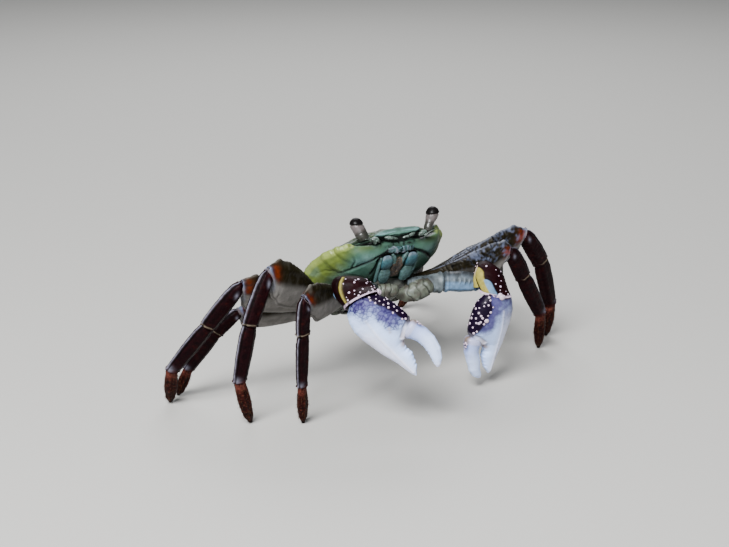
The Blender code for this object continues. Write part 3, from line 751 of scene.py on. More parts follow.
def carve_merus(grid, side, length):
    """Carve a walking leg's thigh: crest, spine, striae and lower lobe."""
    share, turn = laid_out(grid, side)
    height = np.cos(np.radians(turn))
    wave = wander(grid, 0.05, 3.0)
    saw = (share * length / 0.030 + 0.9 * height + 0.8 * wave) % 1.0
    teeth = (share * length / 0.040) % 1.0
    upper = ramp(height, -0.10, 0.35) * ramp(share, 0.10, 0.28) * ramp(share, 0.92, 0.84)
    strength = 1.0 if side == "left" else 0.45
    striae = strength * upper * ramp(wander(grid, 0.030, 11.0), -0.15, 0.20)
    lift = 0.0030 * striae * saw**3 + 0.0010 * wander(grid, 0.014, 2.0)
    lift += 0.010 * ridge(turn, 0.0, 13.0) * ramp(share, 0.12, 0.35) * (0.75 + 0.30 * teeth**2)
    lift += 0.010 * ridge(turn, 180.0, 12.0) * ramp(share, 0.2, 0.5)
    lift += 0.018 * ridge(turn, 4.0, 17.0) * hump(share, 0.900, 0.018)
    lift -= 0.007 * (ridge(turn, 62.0, 15.0) + ridge(turn, -62.0, 15.0)) * ramp(share, 0.2, 0.4)
    lift += 0.012 * (ridge(turn, 160.0, 30.0) + ridge(turn, -160.0, 30.0)) * hump(share, 0.94, 0.04)
    # The knee is rounded over, with a flared pale rim round its end.
    rim = hump(share, 0.985, 0.014)
    lift += 0.004 * rim - 0.030 * ridge(turn, 0.0, 42.0) * hump(share, 1.0, 0.035)
    tone = ramp(height + 0.25 * ramp(share, 0.5, 0.9), -0.15, 0.35) * ramp(share, 1.0, 0.95) + 0.25 * wave
    patch = hump(share, 0.958, 0.042) * ramp(height, -0.40, 0.25) * ramp(height, 1.1, 0.6)
    patch = np.clip(patch * (0.85 + 0.9 * wave + 0.5 * wander(grid, 0.015, 5.0)), 0.0, 1.0)
    pale = 0.40 * ridge(turn, 0.0, 8.0) * ramp(share, 0.2, 0.4) + 0.25 * striae * saw**4
    mark = 0.70 * rim * ramp(height, 0.1, 0.6) + 0.35 * rim
    if side == "left":
        fleck = 0.6 * wander(grid, 0.06, 30.0) + 0.6 * wander(grid, 0.020, 31.0)
        mark += 0.75 * ridge(turn, 0.0, 9.0) * ramp(share, 0.1, 0.3)
        mark += 0.65 * ramp(fleck, -0.1, 0.4) * ramp(share, 0.4, 0.7) * ramp(height, -0.3, 0.1)
        mark *= 1.0 - 0.8 * patch
        # Painted shade: the left legs, away from the key light, darken on the lower side of the thigh, except
        # near the knee.
        tone += 0.55 * ramp(height, -0.75, -0.3) * ramp(share, 1.0, 0.8)
    dark = 0.95 * striae * hump(saw, 0.10, 0.20) + 0.45 * ridge(turn, 163.0, 5.0)
    dark += 0.5 * ramp(-wave, 0.15, 0.5) * upper * strength
    dark += 0.55 * hump(share, 0.965, 0.010) * ramp(height, 0.0, 0.5)
    return lift, {"tone": tone, "accent": 0.95 * patch, "mark": mark, "pale": pale, "dark": dark}


def carve_shin(grid, side, knee):
    """Carve a carpus or propodus: keels with furrows between, and a pale outer line."""
    share, turn = laid_out(grid, side)
    line = ridge(turn, -6.0, 6.5)
    slot = ridge(turn, 16.0 - 5.2 * hump(share, 0.0, 0.12) * knee, 8.0)
    lift = 0.007 * line + 0.004 * ridge(turn, -38.0, 12.0) - 0.006 * slot
    lift += 0.006 * ridge(turn, 92.0, 14.0) - 0.003 * ridge(turn, 122.0, 12.0)
    lift += 0.005 * ridge(turn, -96.0, 12.0) - 0.005 * ridge(turn, -66.0, 14.0)
    lift += 0.0016 * wander(grid, 0.016, 8.0)
    lift += 0.007 * hump(share, 0.975, 0.018) - 0.010 * hump(share, 1.0, 0.008)
    lift -= 0.022 * knee * ridge(turn, 0.0, 45.0) * hump(share, 0.0, 0.06)
    wave, fine = wander(grid, 0.035, 6.0), wander(grid, 0.012, 9.0)
    rim = hump(share, 0.970 - 0.0003 * np.abs(turn), 0.009)
    rim = rim * ramp(turn, -60.0, -20.0) * ramp(turn, 130.0, 80.0)
    knob = knee * hump(share, 0.13, 0.05) * ridge(turn, 72.0, 12.0)
    # The pale line on the outer keel is partly a real line and partly a painted highlight on the keel; it is
    # painted stronger on the right legs, which face the key light, and noise breaks it up.
    line_and_highlight = (0.95 if side == "right" else 0.55) - 0.35 * ramp(fine, 0.0, 0.5)
    mark = np.maximum(line * line_and_highlight, 0.75 * knob) * ramp(share, 0.995, 0.95)
    # A painted highlight on the propodus near its far end.
    mark += 0.6 * (1.0 - knee) * hump(share, 0.93, 0.05) * ridge(turn, 30.0, 30.0)
    accent = 0.7 * hump(share, 1.0, 0.05) * (1.0 - knee)
    accent = accent + 0.35 * ramp(wave, 0.15, 0.5) * ramp(fine, 0.0, 0.4)
    dark = 0.85 * slot + 0.7 * ridge(turn, -66.0, 12.0)
    return lift, {"tone": 0.35 + 0.6 * wave + 0.4 * fine, "accent": accent, "mark": mark,
                  "pale": 0.75 * rim * knee, "dark": dark}


def carve_dactyl(grid, side):
    """Carve a walking leg's last segment: ribs with furrows, and a horny point."""
    share, turn = laid_out(grid, side)
    wave, fine = wander(grid, 0.03, 7.0), wander(grid, 0.010, 4.0)
    ribs = np.cos(np.radians(turn + 10.0 * wave) * 6.0) * (0.7 + 0.5 * wander(grid, 0.05, 2.0))
    fade = ramp(share, 0.05, 0.25) * ramp(share, 0.95, 0.80)
    lift = (0.0022 * ribs + 0.0032 * fine) * fade + 0.008 * ramp(share, 0.1, 0.5) * ramp(share, 0.97, 0.8)
    tone = 0.40 + 0.20 * ribs + 0.6 * wave + 0.4 * fine + 0.4 * hump(share, 0.1, 0.15)
    dark = 0.75 * ramp(-ribs, 0.3, 0.9) * fade * ramp(wave, -0.4, 0.2) + 0.5 * ramp(-wave, 0.1, 0.5) * fade
    mark = (0.6 + 0.9 * fine) * hump(share, 0.05, 0.08) + 0.6 * ramp(fine, 0.25, 0.6) * fade
    pale = 0.35 * ramp(fine, 0.3, 0.7) * ramp(share, 0.2, 0.6)
    accent = 0.35 * ramp(wave, 0.0, 0.4) + 0.8 * ramp(share, 0.93, 0.98)
    return lift, {"tone": tone, "accent": accent, "mark": mark, "pale": pale, "dark": dark}


# How each kind of end closes, as steps of size and reach.
LIMB_LIP = ((1.0, 0.006), (0.985, 0.011), (0.94, 0.015), (0.84, 0.0165), (0.70, 0.016), (0.0, 0.016))
LIMB_ROOT = ((0.985, 0.003), (0.95, 0.006), (0.86, 0.008), (0.78, 0.009), (0.74, 0.03), (0.0, 0.03))
LEG_TIP = ((0.8, 0.001), (0.0, 0.002))
PALM_BASE = ((0.90, 0.004), (0.76, 0.008), (0.55, 0.011), (0.30, 0.013), (0.0, 0.014))
PALM_END = ((0.7, 0.002), (0.0, 0.003))
WRIST_ENDS = (((0.5, 0.002), (0.0, 0.003)), ((0.97, 0.004), (0.90, 0.004), (0.5, -0.01), (0.0, -0.01)))
SPINE_ENDS = (((0.5, 0.004), (0.0, 0.005)), ((0.5, 0.002), (0.0, 0.003)))
STALK_ENDS = (((0.5, 0.004), (0.0, 0.005)), ((0.0, -0.01),))
CORNEA_END = ((0.5, -0.004), (0.0, -0.006))
FINGER_BASE = ((0.99, 0.007), (0.95, 0.016), (0.85, 0.025), (0.66, 0.032), (0.36, 0.036), (0.0, 0.037))
FINGER_END = ((0.8, 0.003), (0.45, 0.005), (0.0, 0.006))
SHELL_END = ((0.9, 0.003), (0.0, 0.004))
PLATE_END = ((0.85, 0.004), (0.5, 0.007), (0.0, 0.008))
ROOT_END = ((0.85, 0.006), (0.5, 0.012), (0.0, 0.014))

# Rings, sides and the spread of the directions of each leg segment.
LEG_DETAIL = {
    "merus": (170, 96, (0.4, 1.0)),
    "carpus": (90, 72, (0.7, 1.0)),
    "propodus": (110, 72, (0.6, 1.0)),
    "dactyl": (110, 60, (0.8, 1.0)),
}


def bristle_roots(grid, normals, seed):
    """Return the roots of a dactyl's bristles, in twelve rows along its middle part."""
    rng = np.random.default_rng(40 + seed)
    rings, sides = grid.shape[:2]
    roots = []
    for _ in range(BRISTLES_PER_LEG):
        ring = int(rings * rng.uniform(0.10, 0.90))
        column = int(sides * ((rng.integers(0, 12) + rng.normal(0.0, 0.16)) / 12.0)) % sides
        lie = unit(grid[min(ring + 2, rings - 1), column] - grid[ring, column])
        point = grid[ring, column] - 0.002 * normals[ring, column]
        roots.append((point, normals[ring, column], lie, (ring / rings, column / sides)))
    return roots


def build_leg(side, number, finishes):
    """Make the four shell pieces of a walking leg."""
    joints = leg_joints(side, number)
    ways = [unit(b - a) for a, b in zip(joints, joints[1:])]
    normal = unit(np.cross(ways[2], ways[0]))
    planes = [ways[0], *[unit(a + b) for a, b in zip(ways, ways[1:])], np.array((0.0, 0.0, -1.0))]
    for index, segment in enumerate(SEGMENTS):
        start, end = joints[index : index + 2]
        name = f"leg{number}_{segment}_{side}"
        plain = limb_grid(name, start, end, np.cross(normal, ways[index]), *planes[index : index + 2],
                          *LEG_DETAIL[segment])
        if name == "leg3_merus_right":
            # This thigh hangs lower than its solid.
            share, turn = laid_out(plain, side)
            plain[..., 2] -= 0.052 * ramp(np.cos(np.radians(turn)), -0.3, 0.5) * hump(share, 0.32, 0.24)
        if segment == "merus":
            look = carve_merus(plain, side, np.linalg.norm(end - start))
        elif segment == "dactyl":
            look = carve_dactyl(plain, side)
        else:
            look = carve_shin(plain, side, 1.0 if segment == "carpus" else 0.0)
        grid, fields = lifted(plain, *look)
        if segment == "dactyl":
            roots = bristle_roots(grid, outward(plain), number)
            reach = bpy.context.scene.crab_sizes.bristle_length
            piece = bristles(f"bristles_leg{number}_{side}", roots, reach, 0.15, 5 + number)
            placed_piece(piece, "leg_dactyl", finishes["bristle"], name)
        shape = capped(grid, fields, LIMB_ROOT, LEG_TIP if segment == "dactyl" else LIMB_LIP)
        skin(f"skin_{name}", shape, in_metres, f"leg_{segment}", finishes[segment], name)


# Pincers.
# How far down from the dorsal edge, in degrees, the dark band of a palm reaches on its
# outer face at each place along it.
BAND_REACH = {
    "right": ((-0.05, 30.0), (0.05, 31.0), (0.12, 27.0), (0.20, 21.0), (0.27, 17.0), (0.32, 10.0)),
    "left": ((-0.05, 26.0), (0.02, 31.0), (0.07, 46.0), (0.16, 38.0), (0.24, 25.0), (0.31, 8.0)),
}

# The hinge of a movable finger and its tubercles: share along it and angle round it.
FINGER_HINGE = (0.30, 0.11)
FINGER_SPOTS = ((0.03, 96), (0.07, 82), (0.11, 93), (0.16, 88), (0.05, 108), (0.10, 106))


def palm_frame(side):
    """Return a pincer's origin and its forward, upper and outer directions."""
    along, upward = unit(PALM_WAYS[side][0]), PALM_WAYS[side][1]
    upward = unit(upward - along * (along @ upward))
    axes = np.array((along, upward, np.cross(along, upward)))
    own = node_points(f"claw_palm_{side}") / WIDTH @ axes.T
    low, high = own.min(0), own.max(0)
    middle = (high[0] - PALM_TIP, 0.5 * (low[1] + high[1] - sum(PALM_EDGES)), 0.5 * (low[2] + high[2]))
    return np.array(middle) @ axes, axes


def own_points(name, origin, axes):
    """Return a solid's points in a pincer's own frame."""
    return (node_points(name) / WIDTH - origin) @ axes.T


def palm_grid(side, origin, axes, rings, sides):
    """Return the rings of a palm and its fixed finger, in the pincer's own frame."""
    name = f"claw_palm_{side}"
    tree = tree_of(name, own_points(name, origin, axes))
    centres = []
    for place in np.linspace(PALM_START, PALM_TIP - 0.001, rings):
        height = 0.0
        if place >= 0.04:
            top = tree.ray_cast(Vector((place, 1.0, 0.0)), Vector((0.0, -1.0, 0.0)))
            bottom = tree.ray_cast(Vector((place, -1.0, 0.0)), Vector((0.0, 1.0, 0.0)))
            height = 0.5 * (top[0].y + bottom[0].y) * ramp(place, 0.04, 0.12)
        centres.append((place, height, 0.0))
    along, upward, across = np.eye(3)
    return cast_rings(tree, centres, [along] * rings, across, upward, sides, (0.55, 1.0), 3)


def from_dorsal(y, z):
    """Return the angle of points of a palm from its dorsal edge, positive on the +z face."""
    return 90.0 - np.degrees(np.arctan2(y, z))


def band_reach(x, side):
    """Return how far down from the dorsal edge a palm's dark band reaches."""
    places, angles = zip(*BAND_REACH[side])
    return np.interp(x, places, angles)


def palm_spots(grid, side, outer):
    """Return the tubercles of a palm's dark band as (ring, column, size)."""
    rng = np.random.default_rng(7)
    angles = from_dorsal(grid[..., 1], grid[..., 2]) * outer
    places = grid[:, :, 0].mean(axis=1)
    kept, least, growth = (0.78, 0.42, 0.4) if side == "right" else (0.66, 0.46, 0.6)
    wanted = []
    for row, down in enumerate((-34.0, -22.0, -11.0, 0.0, 11.0, 22.0, 33.0, 44.0)):
        for step in range(9):
            x = -0.012 + 0.034 * step + 0.017 * (row % 2) + rng.uniform(-0.006, 0.006)
            angle = down + rng.uniform(-3.5, 3.5)
            size = rng.uniform(least, least + 0.3) + growth * x
            if rng.uniform() < kept and abs(angle) < band_reach(x, side) + 1.0 and x < 0.285:
                wanted.append((x, angle, size))
    if side == "left":
        wanted += [(0.165, 36.0, 1.5), (0.190, 20.0, 0.9), (0.150, 24.0, 0.8)]
    spots = []
    for x, down, size in wanted:
        ring = int(np.argmin(np.abs(places - x)))
        spots.append((ring, int(np.argmin(np.abs(angles[ring] - down))), size))
    return spots


def spots_on(carved, plain, places):
    """Return tubercles on a carved grid as points, normals and radii."""
    normals, radius = outward(plain), bpy.context.scene.crab_sizes.tubercle_radius / WIDTH
    return [(carved[ring, column], normals[ring, column], size * radius) for ring, column, size in places]


# Lines of a palm, in its own frame: the groove and the fold before the hinge, the crease
# along the fixed finger, and the skin at the gape.
PALM_HINGE = ((0.268, 0.190, 0), (0.292, 0.120, 0), (0.330, 0.060, 0))
PALM_FOLD = ((0.285, 0.190, 0), (0.310, 0.115, 0), (0.345, 0.058, 0))
PALM_CREASE = ((0.10, -0.020, 0), (0.24, -0.040, 0), (0.42, -0.050, 0), (0.56, -0.055, 0))
PALM_GAPE = ((0.338, 0.090, 0), (0.356, 0.056, 0), (0.380, 0.034, 0))


def carve_palm(grid, side):
    """Return a carved palm with its fixed finger, its fields and its tubercles."""
    outer = 1.0 if side == "right" else -1.0
    x, y, z = np.moveaxis(grid, -1, 0)
    flat = grid * (1, 1, 0)
    down, reach = np.abs(from_dorsal(y, z)), band_reach(x, side)
    cloud = wander(grid, 0.04, 2.0)
    band = ramp(down + 4.0 * cloud, reach + 5.0, reach - 3.0) * ramp(x, 0.320, 0.285)
    net = reticulation(grid, 0.024) * (1.0 if side == "right" else 0.35)
    hinge, fold = near_path(flat, PALM_HINGE, 0.008), near_path(flat, PALM_FOLD, 0.011)
    crease, gape = near_path(flat, PALM_CREASE, 0.008), near_path(flat, PALM_GAPE, 0.020)
    lift = 0.0006 * wander(grid, 0.015, 1.0) - 0.0012 * net * (1.0 - band) * ramp(x, 0.26, 0.1)
    lift += 0.013 * fold - 0.006 * hinge + 0.003 * crease
    # Blunt uneven teeth along the fixed finger's upper edge, and a hollowed tip.
    top = hump(y, y.max(axis=1, keepdims=True), 0.012) * ramp(x, 0.38, 0.41)
    teeth = np.clip(np.sin(2.0 * np.pi * (x - 0.40) / 0.027), -0.4, 1.0)
    teeth *= 0.65 + 0.35 * np.sin(37.0 * x)
    lift += (0.0045 if side == "right" else 0.0028) * top * teeth * ramp(x, 0.57, 0.53)
    lift -= 0.008 * top * ramp(x, 0.550, 0.575)
    # The tone field is painted shade in grey violet over the palm's base, under the wrist's rim, and down
    # from the band, where it is also the palm's violet tint.
    base = ramp(x, 0.20, -0.02) * ramp(y, -0.12, 0.02) if side == "right" else 0.9 * ramp(x, 0.32, 0.02)
    near_band = ramp(down, reach + 68.0, reach + 14.0) * ramp(x, 0.33, 0.20)
    tint_and_shade = np.clip(np.maximum(base, 0.98 * near_band) * (1.1 + 0.4 * cloud), 0.0, 1.0)
    halo = ramp(down, reach + 14.0, reach) * ramp(x, 0.31, 0.24)
    # Painted shadow darkens the palm's base end, under the wrist's rim.
    dark = 0.75 * net * ramp(tint_and_shade, 0.15, 0.60) + 0.55 * (halo * (1.0 - 0.4 * net) + ramp(x, 0.035, -0.01))
    dark = (dark + 0.25 * hinge) * (1.0 - band)
    mark = 0.75 * gape + 0.35 * hinge * (1.0 - band)
    if side == "right":
        for place in ((0.235, 0.052, 0), (0.254, 0.040, 0)):
            mark += 0.55 * near_spot(flat, place, (0.009, 0.008, 1)) * (z * outer > 0)
    # The palm's lower part is paled as a painted highlight.
    pale = 0.70 * fold * (1.0 - 0.7 * band) + 0.30 * crease + 0.7 * ramp(y, 0.02, -0.10) * ramp(x, 0.05, 0.25)
    fields = {"tone": tint_and_shade, "accent": band, "mark": mark, "pale": pale, "dark": dark}
    carved, fields = lifted(grid, lift, fields)
    return carved, fields, spots_on(carved, grid, palm_spots(grid, side, outer))


def reticulation(points, size):
    """Return 1 on the walls of a net of small cells."""
    cells = [noise.voronoi(Vector(point))[0] for point in points.reshape(-1, 3) / size]
    gaps = np.array([near[1] - near[0] for near in cells])
    return ramp(gaps.reshape(points.shape[:-1]), 0.22, 0.04)


def finger_grid(side, origin, axes, rings, sides):
    """Return the rings of a movable finger, square to its curved middle line."""
    name = f"claw_finger_{side}"
    points = own_points(name, origin, axes)
    tree = tree_of(name, points)
    nearest = np.argsort(np.linalg.norm(points[:, :2] - FINGER_HINGE, axis=1))
    root = points[nearest[:36]].mean(axis=0)
    tip = points[np.argmax(np.linalg.norm(points - root, axis=1))]
    chord = (tip - root) * (1, 1, 0)
    square = np.array((-chord[1], chord[0], 0.0))
    path = [root * (1, 1, 0)]
    for share in (0.15, 0.3, 0.45, 0.6, 0.75, 0.9):
        base = path[0] + chord * share
        outside = tree.ray_cast(Vector(base + square), Vector(-square))[0]
        inside = tree.ray_cast(Vector(base - square), Vector(square))[0]
        path.append(0.5 * (np.array(outside) + np.array(inside)) * (1, 1, 0))
    path = bowed([*path, tip * (1, 1, 0)], 200)
    steps = np.linspace(0.045, 0.985, rings) * 199
    centres = np.stack([np.interp(steps, np.arange(200), axis) for axis in path.T], -1)
    along = np.gradient(centres, axis=0)
    along /= np.linalg.norm(along, axis=1, keepdims=True)
    angles = round_angles(sides)
    ways = [np.outer(np.sin(angles), (-y, x, 0.0)) + np.outer(0.8 * np.cos(angles), (0.0, 0.0, 1.0))
            for x, y, _ in along]
    return cast(tree, centres, np.array(ways), 3)


def carve_finger(grid, side):
    """Return a carved movable finger, its fields and its tubercles."""
    rings, sides = grid.shape[:2]
    share, turn = laid_out(grid)
    inner = ridge(turn, 270.0, 22.0)
    teeth = np.clip(np.sin(2.0 * np.pi * share * 11.0 + 1.0), -0.5, 1.0)
    teeth *= 0.65 + 0.35 * np.sin(share * 23.0)
    lift = 0.0005 * wander(grid, 0.015, 4.0) - 0.009 * inner * ramp(share, 0.90, 0.96)
    lift += 0.0048 * inner * teeth * ramp(share, 0.14, 0.22) * ramp(share, 0.92, 0.85)
    furrows = ridge(turn, 40.0, 13.0) + ridge(turn, 140.0, 13.0)
    lift -= 0.0035 * furrows * ramp(share, 0.15, 0.4) * ramp(share, 0.9, 0.6)
    lift += 0.002 * hump(share, 0.015, 0.03)
    # Near its base the finger's tone carries on the palm's violet tint and painted shade.
    upper, tint_and_shade = ridge(turn, 90.0, 40.0), ramp(share, 0.45, 0.0)
    fields = {"tone": 0.15 + 0.6 * tint_and_shade + 0.4 * ridge(turn, 90.0, 45.0) * ramp(share, 0.5, 0.15),
              "accent": 0.95 * upper * ramp(share, 0.24, 0.08) * ramp(upper, 0.25, 0.6),
              "mark": 0.35 * hump(share, 0.0, 0.03) + 0.30 * inner * ramp(share, 0.35, 0.12),
              "pale": 0.4 * ramp(share, 0.8, 1.0), "dark": 0.12 * inner * (1 - tint_and_shade)}
    carved, fields = lifted(grid, lift, fields)
    if side == "left":
        carved[..., 1] -= 0.026 * hump(share, 0.45, 0.28)
    places = [(int(rings * at), int(sides * angle / 360.0), 0.8 - 2.0 * at) for at, angle in FINGER_SPOTS]
    return carved, fields, spots_on(carved, grid, places)


def carve_arm(grid, side):
    """Carve a pincer's merus: pale below, dark brown above, with a joint line near its root."""
    share, turn = laid_out(grid)
    height = np.sin(np.radians(turn))
    seam = hump(share, 0.47, 0.013)
    saw = (share * 0.5 / 0.028 + 0.5 * height + 0.9 * wander(grid, 0.05, 3.0)) % 1.0
    # Where the dark upper side starts, how strong its striae are, the angle of the toothed
    # front edge, and how much the lower side is hollowed.
    split, strength, edge, hollow = (0.92, 0.3, 35.0, 0.026) if side == "left" else (0.30, 1.0, 145.0, 0.0)
    upper = ramp(height, split - 0.16, split + 0.16) * ramp(share, 0.46, 0.52)
    striae = strength * upper * ramp(wander(grid, 0.03, 12.0), -0.2, 0.2)
    front = ridge(turn, edge, 14.0) * np.clip(np.sin(share * 75.0), 0.0, 1.0) * ramp(share, 0.55, 0.7)
    lift = 0.003 * striae * saw**3 + 0.0012 * wander(grid, 0.02, 2.0) + 0.009 * front - 0.012 * seam
    lift += 0.006 * (hump(share, 0.515, 0.022) + hump(share, 0.425, 0.022))
    lift -= hollow * ramp(-height, 0.2, 0.9) * ramp(share, 0.3, 0.6)
    cloud = wander(grid, 0.05, 5.0)
    tone = ramp(share, 0.46, 0.50) * ramp(height, 0.65, 0.3) * (0.85 + 0.3 * cloud)
    dark = 0.55 * seam + 0.6 * striae * hump(saw, 0.1, 0.18) + 0.45 * ramp(share, 0.40, 0.10)
    dark += 0.35 * ramp(share, 0.44, 0.38) * ramp(wander(grid, 0.022, 9.0), 0.1, 0.4)
    pale = 0.4 * front + 0.4 * striae * saw**5 + 0.25 * ramp(cloud, -0.3, 0.6) * (1.0 - upper)
    mark = 0.35 * ramp(share, 0.46, 0.42) * ramp(cloud, -0.6, 0.6)
    return lift, {"tone": tone, "accent": 0.95 * upper, "mark": mark, "pale": pale, "dark": dark}


# A pincer's wrist is a low dome from the elbow to the palm's base. Its sections are
# given in the palm's frame, the outer face taken as +z: middle, wide and deep axes.
WRIST_SECTIONS = {
    "right": (
        ((-0.150, 0.036, -0.150), (0.016, 0.018, 0.0), (-0.004, 0.006, 0.020)),
        ((-0.140, 0.040, -0.140), (0.052, 0.056, -0.004), (-0.012, 0.017, 0.062)),
        ((-0.114, 0.034, -0.122), (0.078, 0.086, -0.008), (-0.016, 0.024, 0.088)),
        ((-0.078, 0.024, -0.098), (0.082, 0.102, -0.012), (-0.018, 0.026, 0.096)),
        ((-0.040, 0.022, -0.058), (0.062, 0.112, -0.018), (-0.028, 0.034, 0.092)),
        ((-0.010, 0.028, -0.022), (0.044, 0.110, -0.022), (-0.036, 0.038, 0.082)),
        ((0.006, 0.030, -0.010), (0.036, 0.102, -0.020), (-0.036, 0.038, 0.070)),
    ),
    "left": (
        ((-0.146, -0.044, -0.172), (0.010, -0.016, 0.006), (-0.006, 0.010, 0.018)),
        ((-0.134, -0.036, -0.164), (0.020, -0.054, 0.032), (-0.016, 0.022, 0.056)),
        ((-0.104, -0.022, -0.146), (0.024, -0.084, 0.050), (-0.024, 0.034, 0.078)),
        ((-0.066, -0.008, -0.112), (0.022, -0.096, 0.056), (-0.026, 0.036, 0.084)),
        ((-0.030, 0.000, -0.066), (0.016, -0.100, 0.046), (-0.020, 0.028, 0.086)),
        ((-0.004, 0.002, -0.026), (0.008, -0.100, 0.030), (-0.010, 0.014, 0.084)),
        ((0.014, 0.002, -0.008), (0.004, -0.096, 0.020), (-0.004, 0.006, 0.078)),
    ),
}
WRIST_SPINE = ((-0.004, 0.070, -0.128), (-0.040, 0.084, -0.140), (-0.086, 0.086, -0.152),
               (-0.136, 0.076, -0.166))


def wrist_grid(side, rings, sides):
    """Return the rings of a pincer's wrist, in the palm's own frame."""
    sections = np.array(WRIST_SECTIONS[side]) * (1.0, 1.0, 1.0 if side == "right" else -1.0)
    middles, wides, deeps = (bowed(sections[:, part], rings)[:, None] for part in range(3))
    angles = round_angles(sides)[None, :, None]
    return middles + wides * np.cos(angles) + deeps * np.sin(angles)


def wrist_spots(side, rings, columns):
    """Return a wrist's tubercles as (ring, column, size), and the three large ones at its rim.

    The columns are given by their angles.
    """
    rng = np.random.default_rng(11)
    corner = 4.0 if side == "right" else 86.0
    wanted = []
    for row in range(6):
        for step in range(11):
            at = 0.28 + 0.11 * row + rng.uniform(-0.03, 0.03)
            angle = -70.0 + 21.0 * step + 10.0 * (row % 2) + rng.uniform(-7, 7)
            keep, size = rng.uniform() < 0.50, rng.uniform(0.35, 0.75)
            if side == "right":
                bare = angle > 96.0 + 46.0 * at
            else:
                bare = (2.0 < angle < 82.0 and at > 0.3) or angle > 160.0
            if keep and not bare:
                wanted.append((at, angle, size))
    wanted += [(0.87, corner, 1.6), (0.955, corner + 2.0, 1.7), (0.93, corner + 11.0, 1.5)]
    return [(int(at * rings), int(np.argmin(np.abs((columns - angle + 180.0) % 360.0 - 180.0))), size)
            for at, angle, size in wanted]


def carve_wrist(grid, side):
    """Return a carved carpus, its fields and its tubercles.

    It is maroon with a yellow stripe and a pale rim. The angle round it is 0 towards the
    palm's upper edge and 90 on the outer face.
    """
    share, turn = laid_out(grid)
    if side == "left":
        turn = (180.0 - turn) % 360.0
    cloud = wander(grid, 0.04, 2.0)
    lift = 0.0012 * wander(grid, 0.02, 2.0)
    lift += 0.006 * hump(share, 0.97, 0.02) - 0.004 * hump(share, 0.90, 0.02)
    lift += 0.008 * hump(share, 0.930, 0.045) * (1.0 + 0.4 * np.cos(np.radians(turn) * 17.0 + 4.0 * cloud))
    if side == "right":
        middle = 104.0 + 46.0 * share
        stripe = hump(turn - middle, 0.0, 5.2) * ramp(share, 0.14, 0.22) * ramp(share, 0.99, 0.93)
        inside = ramp(np.abs((turn - 190.0 + 180.0) % 360.0 - 180.0), 58.0, 50.0) * ramp(share, 0.1, 0.2)
        inside = np.maximum(inside, ramp(turn, middle + 4.0, middle + 9.0) * ramp(turn, 250.0, 240.0))
        lift += 0.006 * stripe - 0.004 * hump(turn - middle, 12.0, 5.0)
        accent, mark = 0.95 * stripe, 0.0
        dark = 0.45 * inside * (1 - stripe) + 0.4 * hump(turn - middle, -10.0, 5.0) * ramp(share, 0.15, 0.3)
    else:
        yellow = ridge(turn, 30.0, 26.0) * ramp(share, 0.30, 0.45)
        skin_patch = ridge(turn, 62.0, 16.0) * ramp(share, 0.52, 0.62) * ramp(share, 0.93, 0.86)
        lift += 0.006 * skin_patch
        accent, mark = 0.95 * ramp(yellow, 0.35, 0.6), 0.95 * ramp(skin_patch, 0.3, 0.6)
        dark = 0.3 * ridge(turn, 82.0, 6.0) * ramp(share, 0.5, 0.6)
    pale = ramp(share + 0.03 * cloud, 0.865, 0.895) * ramp(share, 1.0, 0.985)
    fields = {"tone": 0.4 + 0.5 * cloud, "accent": accent, "mark": mark, "pale": pale,
              "dark": dark + 0.3 * hump(share, 0.85, 0.015)}
    carved, fields = lifted(grid, lift, fields)
    return carved, fields, spots_on(carved, grid, wrist_spots(side, len(grid), turn[0]))


def build_wrist_spine(name, placed, across, finish):
    """Make the long spine of a wrist, which stands out from its inner side."""
    share = shares(60)
    line = bowed(np.array(WRIST_SPINE) * (1.0, 1.0, -1.0), 60)
    places = (0, 0.25, 0.6, 1)
    grid = tube(line, np.interp(share, places, (0.036, 0.024, 0.014, 0.003)),
                np.interp(share, places, (0.030, 0.020, 0.012, 0.003)), across, 40, 1.0)
    whole = np.ones(grid.shape[:2])
    fields = {"accent": whole, "pale": 0.55 * ramp(share, 0.45, 0.85)[:, None] * whole}
    skin(f"spine_{name}", capped(grid, fields, *SPINE_ENDS), placed, "claw_carpus", finish, name)


def build_pincer(side, finishes):
    """Make a pincer's four shell pieces, their tubercles and the left wrist's spine."""
    arm, wrist, palm, finger = (f"claw_{part}_{side}" for part in ("merus", "carpus", "palm", "finger"))
    elbow, joint = meeting(arm, wrist), meeting(wrist, palm)
    hip = far_end(arm, elbow)
    origin, axes = palm_frame(side)

    def placed(points):
        return in_metres(origin + points @ axes)

    def studded(name, spots, slot):
        placed_piece(studs(f"studs_{name}", spots, placed), slot, finishes["tubercle"], name)

    along = unit(elbow - hip)
    last = unit(along + unit(joint - elbow))
    grid = limb_grid(arm, hip, elbow, np.eye(3)[2], along, last, *DETAIL["arm"], (1.0, 1.0))
    shape = capped(*lifted(grid, *carve_arm(grid, side)), LIMB_ROOT, LIMB_LIP)
    skin(f"skin_{arm}", shape, in_metres, "claw_merus", finishes["arm"], arm)
    *shape, spots = carve_wrist(wrist_grid(side, *DETAIL["wrist"]), side)
    studded(wrist, spots, "claw_carpus")
    skin(f"skin_{wrist}", capped(*shape, *WRIST_ENDS), placed, "claw_carpus", finishes["wrist"], wrist)
    if side == "left":
        build_wrist_spine(wrist, placed, axes[2] @ axes.T, finishes["wrist"])
    *shape, spots = carve_palm(palm_grid(side, origin, axes, *DETAIL["palm"]), side)
    studded(palm, spots, "claw_palm")
    skin(f"skin_{palm}", capped(*shape, PALM_BASE, PALM_END), placed, "claw_palm", finishes["palm"], palm)
    *shape, spots = carve_finger(finger_grid(side, origin, axes, *DETAIL["finger"]), side)
    shape = capped(*shape, FINGER_BASE, FINGER_END)
    skin(f"skin_{finger}", shape, placed, "claw_finger", finishes["finger"], finger)
    studded(finger, spots, "claw_finger")


